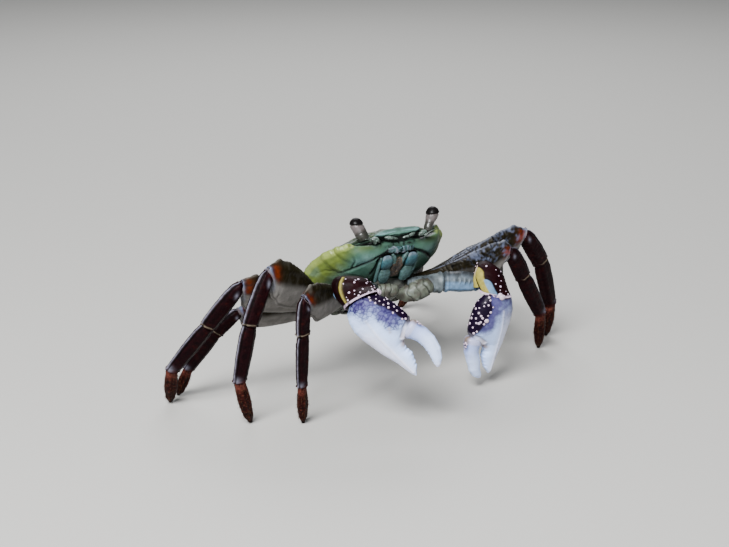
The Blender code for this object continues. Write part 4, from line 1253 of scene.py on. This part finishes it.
# The underside.
STERNUM_GROOVES = (-0.055, 0.050, 0.155, 0.245, 0.325)
ABDOMEN_GROOVES = (-0.010, 0.060, 0.130, 0.200, 0.270, 0.335, 0.395)


def build_sternum():
    """Make the thoracic sternum, with a groove at each of its plates."""
    grid = body_rings("sternum", -0.148, 0.378, (0.22, 0.05))
    x, y, _ = np.moveaxis(folded(grid), -1, 0)
    plates = np.max([hump(y + 0.25 * x, place, 0.007) for place in STERNUM_GROOVES], axis=0)
    plates = plates * ramp(x, 0.045, 0.07)
    fields = {"tone": 0.5 + 0.5 * wander(grid, 0.08, 5.0), "dark": 0.6 * plates,
              "pale": 0.3 * ramp(x, 0.15, 0.22), "accent": 0.2 * ramp(x, 0.1, 0.2)}
    shape = lifted(grid, 0.0010 * wander(grid, 0.02, 3.0) - 0.008 * plates, fields)
    finish = shell_material("Crab_Sternum", "sternum", 0.4)
    skin("sternum_shell", capped(*shape, SHELL_END, SHELL_END), from_body, "sternum", finish, "sternum")


# The way the abdomen's rear end bends up under the carapace, and the tilt of its rings,
# both in degrees at even steps along the bend.
ABDOMEN_RISE = (50.0, 62.0, 76.0, 90.0, 100.0, 110.0, 120.0, 130.0, 135.0)
ABDOMEN_TILT = (0.0, 22.0, 42.0, 62.0, 82.0, 100.0, 114.0, 126.0, 135.0)


def bent_up(grid, fields, rings=27, stride=0.0030):
    """Add rings to the abdomen's rear end that rise into the carapace, with two plate grooves."""
    middle = grid[-1].mean(axis=0)
    ring = grid[-1] - middle
    places = shares(len(ABDOMEN_RISE))
    added, grooves = [], []
    for share in np.linspace(1.0 / rings, 1.0, rings):
        way = math.radians(np.interp(share, places, ABDOMEN_RISE))
        tilt = math.radians(np.interp(share, places, ABDOMEN_TILT))
        groove = hump(share, 0.28, 0.05) + hump(share, 0.66, 0.05)
        shape = ring * (1.0 - 0.07 * share, 1.0, 1.0 - 0.33 * share) * (1.0 - 0.06 * groove)
        middle = middle + stride * np.array((0.0, math.cos(way), math.sin(way)))
        added.append(middle + shape @ np.array(Matrix.Rotation(tilt, 3, "X")).T)
        grooves.append(groove)
    more = {key: np.repeat(values[-1:], rings, axis=0) for key, values in fields.items()}
    fields = {key: np.concatenate((values, more[key])) for key, values in fields.items()}
    fields["dark"][-rings:] = 0.1 + 0.55 * np.array(grooves)[:, None]
    return np.concatenate((grid, added)), fields


def build_abdomen():
    """Make the folded abdomen, a narrow triangle of plates."""
    grid = body_rings("abdomen", -0.088, 0.450, (0.12, 0.03))
    bent = grid[..., 1] - 0.3 * grid[..., 0] ** 2
    plates = np.max([hump(bent, place, 0.006) for place in ABDOMEN_GROOVES], axis=0)
    fields = {"tone": 0.6 + 0.4 * wander(grid, 0.06, 8.0), "dark": 0.55 * plates,
              "pale": 0.4 * hump(plates, 0.2, 0.1)}
    shape = bent_up(*lifted(grid, 0.0008 * wander(grid, 0.02, 3.0) - 0.007 * plates, fields))
    finish = shell_material("Crab_Abdomen", "sternum", 0.4)
    skin("abdomen_shell", capped(*shape, SHELL_END, SHELL_END), from_body, "abdomen", finish, "abdomen")


def mirrored(points, side):
    """Return points given for the left side on the side asked for."""
    points = np.array(points, float)
    return points if side == "left" else points * (-1.0, 1.0, 1.0)


def plate(name, path, widths, thicks, side, slot, finish, look, *nodes, sides=48, count=60):
    """Make a small rounded plate along a path of the body's frame.

    The look takes the plate's grid and the share along it, and returns lifts and fields.
    """
    even = shares(count)
    steps = shares(len(widths))
    grid = tube(bowed(mirrored(path, side), count), np.interp(even, steps, widths),
                np.interp(even, steps, thicks), np.array((1.0, 0.0, 0.0)), sides, 0.8)
    shape = capped(*lifted(grid, *look(grid, even[:, None])), PLATE_END, PLATE_END)
    skin(name, shape, from_body, slot, finish, *nodes)


def turquoise(grid, share):
    """Return the lifts and fields of the mouth's teal plates."""
    fine = wander(grid, 0.012, 5.0)
    # The plate darkens towards its end, where it meets the next plate, as painted shade between the pieces.
    return 0.0010 * fine, {"tone": 0.25 + 0.3 * wander(grid, 0.05), "pale": 0.35 * hump(share, 0.0, 0.15),
                           "dark": 0.45 * ramp(share, 0.72, 1.0) + 0.3 * ramp(-fine, 0.1, 0.5)}


def greyish(grid, share):
    """Return the lifts and fields of the mouth's grey plates."""
    fine = wander(grid, 0.014, 6.0)
    # Each plate darkens at its front end, where it meets the piece before it, as painted shade between the
    # pieces.
    return 0.0010 * fine, {"tone": 0.95 - 0.2 * share, "mark": 0.5 * ramp(fine, 0.0, 0.4),
                           "dark": 0.25 * ramp(share, 0.15, 0.0) + 0.25 * ramp(-fine, 0.1, 0.5)}


def dull(grid, share):
    """Return the lifts and fields of the brown pieces in the middle of the mouth."""
    lumps = wander(grid, 0.022, 3.0) + 0.6 * wander(grid, 0.010, 8.0)
    return 0.007 * lumps, {"tone": 0.5 + lumps, "dark": 0.6 * ramp(-lumps, 0.0, 0.5),
                           "mark": 0.5 * ramp(share, 0.3, 0.0)}


def ridged(grid, share):
    """Return the lifts and fields of the ridge above the mouth."""
    lumps = wander(grid * (1.0, 0.6, 0.6), 0.030, 2.0) + 0.5 * wander(grid, 0.014, 7.0)
    ends = hump(share, 0.0, 0.2) + hump(share, 1.0, 0.2)
    # The tops of the middle lumps are paled as a painted highlight, and the hollows between lumps take
    # painted shade; both ends are darker.
    return 0.008 * lumps, {"tone": 0.6, "pale": 0.9 * ramp(lumps, -0.1, 0.5) * hump(share, 0.46, 0.3),
                           "dark": 0.7 * ramp(-lumps, 0.05, 0.5) + 0.5 * ends}


# The plates of the mouth's left side: name, path, widths, thicknesses, look and sides.
MOUTH_PLATES = (
    ("mouth_merus",
     ((0.103, -0.372, -0.130), (0.102, -0.345, -0.156), (0.098, -0.305, -0.180)),
     (0.030, 0.040, 0.044, 0.043, 0.038), (0.012, 0.018, 0.020, 0.018, 0.013), turquoise, 48),
    ("mouth_ischium",
     ((0.096, -0.292, -0.188), (0.090, -0.250, -0.212), (0.080, -0.200, -0.240)),
     (0.036, 0.043, 0.046, 0.042, 0.030), (0.013, 0.018, 0.020, 0.018, 0.014), greyish, 48),
    ("mouth_outer_branch",
     ((0.150, -0.362, -0.134), (0.152, -0.310, -0.168), (0.148, -0.250, -0.202), (0.138, -0.200, -0.226)),
     (0.007, 0.009, 0.010, 0.011, 0.012), (0.008, 0.011, 0.011, 0.011, 0.010), greyish, 28),
    ("mouth_palp",
     ((0.060, -0.376, -0.122), (0.040, -0.352, -0.142), (0.032, -0.318, -0.162), (0.036, -0.282, -0.180)),
     (0.010, 0.015, 0.014, 0.010, 0.006), (0.010, 0.014, 0.012, 0.010, 0.006), greyish, 24),
)
# The ridge above the mouth and the brown piece in its middle: path, widths and thicknesses.
MOUTH_RIDGE = (
    ((-0.108, -0.388, -0.092), (-0.055, -0.396, -0.096), (0.0, -0.398, -0.098), (0.055, -0.396, -0.096),
     (0.108, -0.388, -0.092)),
    (0.010, 0.014, 0.016, 0.014, 0.010), (0.014, 0.019, 0.021, 0.019, 0.014),
)
MOUTH_INNER = (
    ((0.020, -0.340, -0.140), (0.020, -0.280, -0.172), (0.020, -0.215, -0.205)),
    (0.020, 0.027, 0.029, 0.029, 0.022), (0.014, 0.020, 0.021, 0.020, 0.015),
)


def build_mouth():
    """Make the ridge above the mouth and the plates, palps and brown middle pieces below it."""
    finish = shell_material("Crab_Mouthpart", "mouthparts", 0.48, coat=0.02, gloss=0.25)
    brown = shell_material("Crab_Gape", "gape", 0.6, grain=0.5)
    plate("mouth_epistome", *MOUTH_RIDGE, "left", "mouthparts", finish, ridged, "carapace",
          sides=40, count=120)
    for side in SIDES:
        for name, path, widths, thicks, look, sides in MOUTH_PLATES:
            plate(f"{name}_{side}", path, widths, thicks, side, "mouthparts", finish, look,
                  f"maxilliped_{side}", sides=sides)
        plate(f"mouth_inner_{side}", *MOUTH_INNER, side, "mouthparts", brown, dull, sides=40)


def eye_frame(side):
    """Return an eyestalk's base and the way it points, in shares."""
    stalk = node_points(f"eyestalk_{side}") / WIDTH
    joint = meeting(f"eyestalk_{side}", f"cornea_{side}")
    way = unit(joint - stalk.mean(axis=0))
    reach = (stalk - joint) @ way
    return stalk[reach < reach.min() + 0.004].mean(axis=0), way


# The eyes: stalk radii at shares of its length, the length, the way the cornea's edge faces
# and how far up the stalk it starts.
EYE_STEPS = (-0.190, -0.060, 0.110, 0.300, 0.500, 0.660, 0.790, 0.885, 0.960, 0.990, 1.0)
EYE_RADII = {
    "right": (0.030, 0.0405, 0.0440, 0.0435, 0.0445, 0.0450, 0.0410, 0.0330, 0.0200, 0.0100, 0.0),
    "left": (0.022, 0.0290, 0.0300, 0.0330, 0.0410, 0.0440, 0.0405, 0.0330, 0.0200, 0.0100, 0.0),
}
EYE_LENGTH = {"right": 0.132, "left": 0.144}
CORNEA_FACING = (0.05, 0.20, 0.98)
CORNEA_START = {"right": 0.090, "left": 0.096}


def build_eyes():
    """Make the eyes: thick grey-cream stalks, each with a dark oblique cornea at its top."""
    finish = shell_material("Crab_Eyestalk", "eyestalk", 0.34, grain=0.05, mottle=0.16, coat=0.1, gloss=0.3)
    wet = cornea_material()
    facing = unit(CORNEA_FACING)
    rings, sides = DETAIL["eye"]
    angles = round_angles(sides)
    for side in SIDES:
        base, way = eye_frame(side)
        far = EYE_LENGTH[side]
        across = unit(np.cross(way, (0.0, 0.0, 1.0)))
        steps = np.linspace(EYE_STEPS[0] * far, far, rings)
        radius = softened(np.interp(steps, np.array(EYE_STEPS) * far, EYE_RADII[side]), 8, 0, False)
        radius *= np.sqrt(np.clip(1.0 - ramp(steps, far * 0.93, far) ** 2, 0.0, 1.0))
        circle = np.outer(np.cos(angles), across) + 0.94 * np.outer(np.sin(angles), np.cross(way, across))
        grid = base + way * steps[:, None, None] + radius[:, None, None] * circle
        lean = (grid - base) @ facing
        start = CORNEA_START[side] * (way @ facing)
        cap = ramp(lean, start - 0.002, start + 0.002)
        ringed = hump(steps, 0.018, 0.005)[:, None]
        lift = 0.0014 * cap + 0.0008 * wander(grid, 0.02, 1.0) * (1 - cap)
        lift -= 0.004 * hump(lean, start - 0.004, 0.004) + 0.0012 * ringed
        grid = grid + outward(grid) * lift[..., None]
        fields = {
            "tone": 0.45 + 0.5 * wander(grid, 0.03, 3.0),
            "pale": 0.85 * ramp(steps, 0.028, 0.05)[:, None] * ramp(lean, start, start - 0.010),
            "accent": 0.60 * ramp(wander(grid, 0.016, 8.0), 0.0, 0.4),
            "mark": 0.75 * ramp(steps, 0.050, 0.005)[:, None] + np.zeros(lean.shape),
            "dark": 0.30 * ringed + 0.8 * hump(lean, start - 0.002, 0.0025)}
        split = cap > 0.5
        last = np.argmax(split.all(axis=1)) + 2
        stalk = {key: values[:last] for key, values in fields.items()}
        shape = capped(grid[:last], stalk, *STALK_ENDS)
        skin(f"eye_stalk_{side}", shape, in_metres, "eyestalks", finish, f"eyestalk_{side}")
        # The cornea is a smooth skin over the stalk's end, cut off obliquely.
        first = np.argmax(split.any(axis=1))
        lens = grid[first:] + outward(grid)[first:] * 0.0012
        tucked = ramp(lean[first:], start - 0.004, start + 0.002)[..., None]
        middle = (base + way * steps[first:, None])[:, None, :]
        lens = middle + (lens - middle) * (0.80 + 0.20 * tucked)
        shape = with_end(lens, {}, CORNEA_END, True)
        skin(f"eye_cornea_{side}", shape, in_metres, "corneas", wet, f"cornea_{side}")


def cornea_material():
    """Return a wet compound eye: near black with grey clouds and fine facets."""
    material = bpy.data.materials.new("Crab_Cornea")
    material.use_nodes = True
    tree = material.node_tree
    shader = tree.nodes["Principled BSDF"]
    place = add_node(tree, "ShaderNodeTexCoord").outputs["Object"]
    cloud = add_node(tree, "ShaderNodeTexNoise", {"Vector": place, "Scale": 1.0 / CORNEA_CLOUD}).outputs[0]
    dark, grey = (*linear(CORNEA_DARK), 1.0), (*linear(CORNEA_GREY), 1.0)
    mix = add_node(tree, "ShaderNodeMix", {0: cloud, 6: dark, 7: grey}, data_type="RGBA")
    tree.links.new(mix.outputs[2], shader.inputs["Base Color"])
    facets = add_node(tree, "ShaderNodeTexVoronoi", {"Vector": place, "Scale": 1.0 / CORNEA_FACET})
    bump = add_node(tree, "ShaderNodeBump", {"Strength": 0.08, "Distance": 0.00002,
                                             "Height": facets.outputs[0]})
    tree.links.new(bump.outputs[0], shader.inputs["Normal"])
    shader.inputs["Roughness"].default_value = 0.34
    shader.inputs["IOR"].default_value = CORNEA_IOR
    shader.inputs["Specular IOR Level"].default_value = 0.10
    return material


def jointed(grid, share):
    """Return the lifts and fields of an antenna, a chain of thirty short rings."""
    rings = 0.5 + 0.5 * np.cos(share * 2.0 * np.pi * 30.0)
    return 0.0006 * rings, {"tone": rings, "pale": 0.3 * ramp(share, 0.35, 0.1), "dark": 0.3 * (1 - rings)}


def sectioned(grid, share):
    """Return the lifts and fields of an antennule, folded at one joint."""
    joint, fine = hump(share, 0.40, 0.05), wander(grid, 0.012, 5.0)
    return 0.002 * fine - 0.003 * joint, {
        "tone": 0.7, "mark": 0.8 * (1.0 - joint), "dark": 0.6 * joint + 0.5 * ramp(-fine, 0.0, 0.4)}


def lobed(grid, share):
    """Return the lifts and fields of an antenna's thick base."""
    fine = wander(grid, 0.014, 4.0)
    return 0.004 * fine, {"tone": 0.7, "mark": 0.9 * hump(share, 0.5, 0.35),
                          "dark": 0.6 * ramp(-fine, 0.0, 0.4)}


# The feelers of the left side: name, solid, path, widths, thicknesses, look, sides and rings.
FEELERS = (
    ("feeler", "antenna",
     ((0.206, -0.432, -0.040), (0.222, -0.446, -0.034), (0.248, -0.460, -0.026),
      (0.270, -0.466, -0.022), (0.292, -0.468, -0.020)),
     (0.011, 0.007, 0.0038, 0.0030, 0.0025, 0.0020), (0.011, 0.007, 0.0038, 0.0030, 0.0025, 0.0020),
     jointed, 20, 160),
    ("feeler_base", "antenna",
     ((0.166, -0.424, -0.030), (0.185, -0.434, -0.022), (0.208, -0.432, -0.016), (0.226, -0.420, -0.014)),
     (0.010, 0.016, 0.017, 0.010), (0.010, 0.014, 0.014, 0.010), lobed, 32, 60),
    ("short_feeler", "antennule",
     ((0.028, -0.436, -0.034), (0.058, -0.446, -0.033), (0.090, -0.448, -0.026), (0.116, -0.440, -0.018)),
     (0.006, 0.009, 0.010, 0.011, 0.007), (0.006, 0.008, 0.010, 0.010, 0.007), sectioned, 28, 60),
)


def build_feelers():
    """Make the antennae, their thick base joints and the folded antennules."""
    finish = shell_material("Crab_Feeler", "feeler", 0.45)
    for side in SIDES:
        for name, node, path, widths, thicks, look, sides, count in FEELERS:
            plate(f"{name}_{side}", path, widths, thicks, side, "feelers", finish, look,
                  f"{node}_{side}", sides=sides, count=count)


# The limb roots: each leg and pincer leaves the body through one short grooved piece.
def grooved(grid, share):
    """Return the lifts and fields of a limb root, with three grooves between its plates."""
    cloud, fine = wander(grid, 0.05, 4.0), wander(grid, 0.020, 9.0)
    bent = share + 0.11 * cloud
    groove = hump(bent, 0.28, 0.022) + 0.7 * hump(bent, 0.50, 0.014) + hump(bent, 0.74, 0.024)
    return 0.005 * cloud + 0.003 * fine - 0.007 * groove, {
        "tone": 0.5 + 0.8 * cloud, "mark": 0.6 * ramp(fine, 0.0, 0.5), "dark": 0.75 * groove,
        "accent": 0.6 * ramp(-cloud, 0.0, 0.5), "pale": 0.6 * ramp(cloud, 0.1, 0.5) * ramp(fine, -0.3, 0.2)}


# A pincer's root: its path from the pincer's hip, turned as the world is, and its widths.
CLAW_ROOTS = {
    "left": (((-0.095, 0.020, -0.075), (-0.040, -0.020, -0.060), (0.020, -0.055, -0.040),
              (0.070, -0.075, -0.016), (0.100, -0.080, 0.002)),
             (0.030, 0.060, 0.068, 0.062, 0.044)),
    "right": (((0.130, -0.080, -0.012), (0.090, -0.055, -0.018), (0.040, -0.025, -0.016),
               (-0.010, 0.0, -0.010)),
              (0.034, 0.050, 0.048, 0.038)),
}


def build_roots():
    """Make the short root joints between the sternum and each limb."""
    finish = shell_material("Crab_Root", "root", 0.5, mottle=0.2, coat=0.0, gloss=0.25)
    share = shares(90)
    for side in SIDES:
        for number in LEGS:
            hip = mirrored(to_body(in_metres(leg_joints(side, number)[0])), side)
            inner = hip * (0.62, 1.0, 1.0) + (0.0, 0.0, 0.012)
            path = (inner, 0.5 * (inner + hip) + (0.0, 0.0, -0.006), hip,
                    hip * (1.08, 1.0, 1.0) + (0.0, 0.0, 0.012))
            plate(f"root_leg{number}_{side}", path, (0.036, 0.048, 0.046, 0.042, 0.030),
                  (0.030, 0.040, 0.038, 0.036, 0.026), side, "leg_merus", finish, grooved)
        steps, widths = (np.array(values) for values in CLAW_ROOTS[side])
        hip = far_end(f"claw_merus_{side}", meeting(f"claw_merus_{side}", f"claw_carpus_{side}"))
        wide = bowed(widths[:, None], 90)[:, 0]
        grid = tube(bowed(hip + steps, 90), wide, 0.8 * wide, (0.0, 0.4, 0.9), 64, 1.0)
        shape = capped(*lifted(grid, *grooved(grid, share[:, None])), ROOT_END, ROOT_END)
        skin(f"root_claw_{side}", shape, in_metres, "claw_merus", finish)


# Stage.
CAMERA_AZIMUTH = math.radians(-38.0)
CAMERA_ELEVATION = math.radians(18.0)
CAMERA_OFFSET = (0.0005, 0.0050)
SENSOR_WIDTH = 36.0

# Soft rectangular lights: name, place, size, share of the main light's power and colour.
LIGHTS = (
    ("key_light", (-0.56, -0.36, 0.68), 0.4, 1.0, (0.97, 0.985, 1.0)),
    ("fill_light", (-0.35, -0.75, 0.25), 0.6, 0.06, (0.93, 0.96, 1.0)),
    ("rim_light", (0.35, 0.50, 0.60), 0.5, 0.20, (0.95, 0.97, 1.0)),
)
SURROUNDINGS = ("#dfe6ee", 0.20)


def build_camera():
    """Aim the camera at the crab's body from its front right, a little above it."""
    settings = bpy.context.scene.crab_stage
    right = Vector((math.cos(CAMERA_AZIMUTH), math.sin(CAMERA_AZIMUTH), 0.0))
    level = math.cos(CAMERA_ELEVATION)
    back = Vector((math.sin(CAMERA_AZIMUTH) * level, -math.cos(CAMERA_AZIMUTH) * level,
                   math.sin(CAMERA_ELEVATION)))
    up = back.cross(right)
    place = Vector(ORIGIN) + back * settings.distance - right * CAMERA_OFFSET[0] - up * CAMERA_OFFSET[1]
    camera = bpy.data.cameras.new("Camera")
    camera.lens = settings.lens
    camera.sensor_width = SENSOR_WIDTH
    camera.clip_start = 0.01
    item = linked("Camera", camera)
    turn = Matrix((right, up, back)).transposed().to_4x4()
    item.matrix_world = Matrix.Translation(place) @ turn
    bpy.context.scene.camera = item


def add_light(name, place, size, watts, colour):
    """Add a soft rectangular light that faces the crab."""
    light = bpy.data.lights.new(name, "AREA")
    light.shape = "SQUARE"
    light.size = size
    light.energy = watts
    light.color = colour
    item = linked(name, light)
    item.location = place
    item.rotation_euler = (Vector(ORIGIN) - Vector(place)).to_track_quat("-Z", "Y").to_euler()


def build_stage():
    """Make the floor, the lights, the surroundings and the camera."""
    shape = bmesh.new()
    bmesh.ops.create_grid(shape, x_segments=1, y_segments=1, size=2.0)
    mesh = bpy.data.meshes.new("floor")
    shape.to_mesh(mesh)
    shape.free()
    material = bpy.data.materials.new("Floor_Matte_Paint")
    material.use_nodes = True
    shader = material.node_tree.nodes["Principled BSDF"]
    shader.inputs["Base Color"].default_value = (*linear(FLOOR_PAINT), 1.0)
    shader.inputs["Roughness"].default_value = 0.9
    mesh.materials.append(material)
    linked("floor", mesh)
    world = bpy.data.worlds.new("Studio")
    world.use_nodes = True
    background = world.node_tree.nodes["Background"]
    background.inputs[0].default_value = (*linear(SURROUNDINGS[0]), 1.0)
    background.inputs[1].default_value = SURROUNDINGS[1]
    bpy.context.scene.world = world
    for name, place, size, share, colour in LIGHTS:
        add_light(name, place, size, share * bpy.context.scene.crab_stage.light, colour)
    build_camera()


def small_length(name, description, default, least):
    """Return a property that holds a small length."""
    return bpy.props.FloatProperty(name=name, description=description, default=default, min=least,
                                   subtype="DISTANCE", unit="LENGTH", precision=5)


class CrabSizes(bpy.types.PropertyGroup):
    """The sizes of the fine work on the shell."""

    tubercle_radius: small_length(
        "Tubercle radius", "Radius of an ordinary tubercle on a pincer", 0.0108 * WIDTH, 0.0)
    stria_spacing: small_length(
        "Stria spacing", "Distance between the fine ridges of the back", 0.030 * WIDTH, 1e-4)
    stria_depth: small_length(
        "Stria height", "Height of the fine ridges of the back", 0.0042 * WIDTH, 0.0)
    bristle_length: small_length(
        "Bristle length", "Length of the bristles on the last leg segments", 0.0014, 0.0)
    mottle: small_length(
        "Mottle size", "Size of the cloudy colour patches of the shell", 0.0022, 1e-5)
    grain: small_length(
        "Pit size", "Size of the pits and grains of the shell's surface", 0.00035, 1e-5)


class CrabColours(bpy.types.PropertyGroup):
    """The six colours of each finish."""

    __annotations__ = {
        f"{finish}_{part}": bpy.props.FloatVectorProperty(
            name=f"{finish} {part}".replace("_", " ").capitalize(),
            description=f"The {part} colour of the {finish} finish".replace("_", " "),
            default=linear(code), size=3, min=0.0, max=1.0, subtype="COLOR")
        for finish, codes in FINISHES.items() for part, code in zip(PARTS, codes)
    }


class CrabStage(bpy.types.PropertyGroup):
    """The camera and the lights."""

    distance: bpy.props.FloatProperty(
        name="Camera distance", description="Distance from the camera to the body",
        default=0.556, min=0.05, subtype="DISTANCE", unit="LENGTH")
    lens: bpy.props.FloatProperty(
        name="Lens", description="Focal length in millimetres on a 36 mm sensor",
        default=81.2, min=10.0, unit="CAMERA")
    light: bpy.props.FloatProperty(
        name="Key light", description="Power of the main light in watts",
        default=33.0, min=0.0, unit="POWER")


class CRAB_OT_carapace(bpy.types.Operator):
    """Build the carapace, the sternum and the abdomen"""

    bl_idname = "crab.carapace"
    bl_label = "Carapace"

    def execute(self, context):
        build_carapace()
        build_sternum()
        build_abdomen()
        return {"FINISHED"}


class CRAB_OT_head(bpy.types.Operator):
    """Build the mouthparts, the eyes and the feelers"""

    bl_idname = "crab.head"
    bl_label = "Head"

    def execute(self, context):
        build_mouth()
        build_eyes()
        build_feelers()
        return {"FINISHED"}


class CRAB_OT_pincers(bpy.types.Operator):
    """Build both pincers"""

    bl_idname = "crab.pincers"
    bl_label = "Pincers"

    def execute(self, context):
        finishes = {
            "arm": shell_material("Crab_Arm", "arm", 0.42, gloss=0.12, coat=0.0),
            "wrist": shell_material("Crab_Wrist", "wrist", 0.48, gloss=0.04, coat=0.0),
            "palm": shell_material("Crab_Palm", "palm", 0.42, mottle=0.06, gloss=0.07, coat=0.0),
            "finger": shell_material("Crab_Finger", "finger", 0.36, mottle=0.05, gloss=0.25, coat=0.0),
            "tubercle": shell_material("Crab_Tubercle", "tubercle", 0.4, mottle=0.1, gloss=0.3, coat=0.0),
        }
        for side in SIDES:
            build_pincer(side, finishes)
        return {"FINISHED"}


class CRAB_OT_legs(bpy.types.Operator):
    """Build the eight walking legs"""

    bl_idname = "crab.legs"
    bl_label = "Legs"

    def execute(self, context):
        finishes = {}
        for segment in SEGMENTS:
            name = f"Crab_Leg_{segment.title()}"
            finishes[segment] = shell_material(name, f"leg_{segment}", 0.50, coat=0.0, gloss=0.04)
        finishes["bristle"] = shell_material("Crab_Bristle", "bristle", 0.55, coat=0.0, gloss=0.1)
        for side in SIDES:
            for number in LEGS:
                build_leg(side, number, finishes)
        return {"FINISHED"}


class CRAB_OT_roots(bpy.types.Operator):
    """Build the root joints of the legs and pincers"""

    bl_idname = "crab.roots"
    bl_label = "Limb roots"

    def execute(self, context):
        build_roots()
        return {"FINISHED"}


class CRAB_OT_stage(bpy.types.Operator):
    """Build the floor, the lights and the camera"""

    bl_idname = "crab.stage"
    bl_label = "Stage"

    def execute(self, context):
        build_stage()
        return {"FINISHED"}


class CRAB_PT_panel(bpy.types.Panel):
    """The crab's operators, sizes and colours"""

    bl_idname = "CRAB_PT_panel"
    bl_label = "Crab"
    bl_space_type = "VIEW_3D"
    bl_region_type = "UI"
    bl_category = "Crab"

    def draw(self, context):
        for operator in OPERATORS:
            self.layout.operator(operator.bl_idname)
        for group in ("crab_sizes", "crab_stage", "crab_colours"):
            values = getattr(context.scene, group)
            for name in values.__annotations__:
                self.layout.prop(values, name)


OPERATORS = (CRAB_OT_carapace, CRAB_OT_head, CRAB_OT_pincers, CRAB_OT_legs, CRAB_OT_roots, CRAB_OT_stage)
GROUPS = {"crab_sizes": CrabSizes, "crab_colours": CrabColours, "crab_stage": CrabStage}
CLASSES = (*GROUPS.values(), *OPERATORS, CRAB_PT_panel)


def register():
    """Register the add-on's classes and hang its properties on the scene."""
    for item in CLASSES:
        bpy.utils.register_class(item)
    for name, group in GROUPS.items():
        setattr(bpy.types.Scene, name, bpy.props.PointerProperty(type=group))


def unregister():
    """Remove the add-on's properties and classes."""
    for name in GROUPS:
        delattr(bpy.types.Scene, name)
    for item in reversed(CLASSES):
        bpy.utils.unregister_class(item)


def main():
    """Build the whole crab on its stage."""
    register()
    bpy.ops.crab.carapace()
    bpy.ops.crab.head()
    bpy.ops.crab.pincers()
    bpy.ops.crab.legs()
    bpy.ops.crab.roots()
    bpy.ops.crab.stage()


if __name__ == "__main__":
    main()
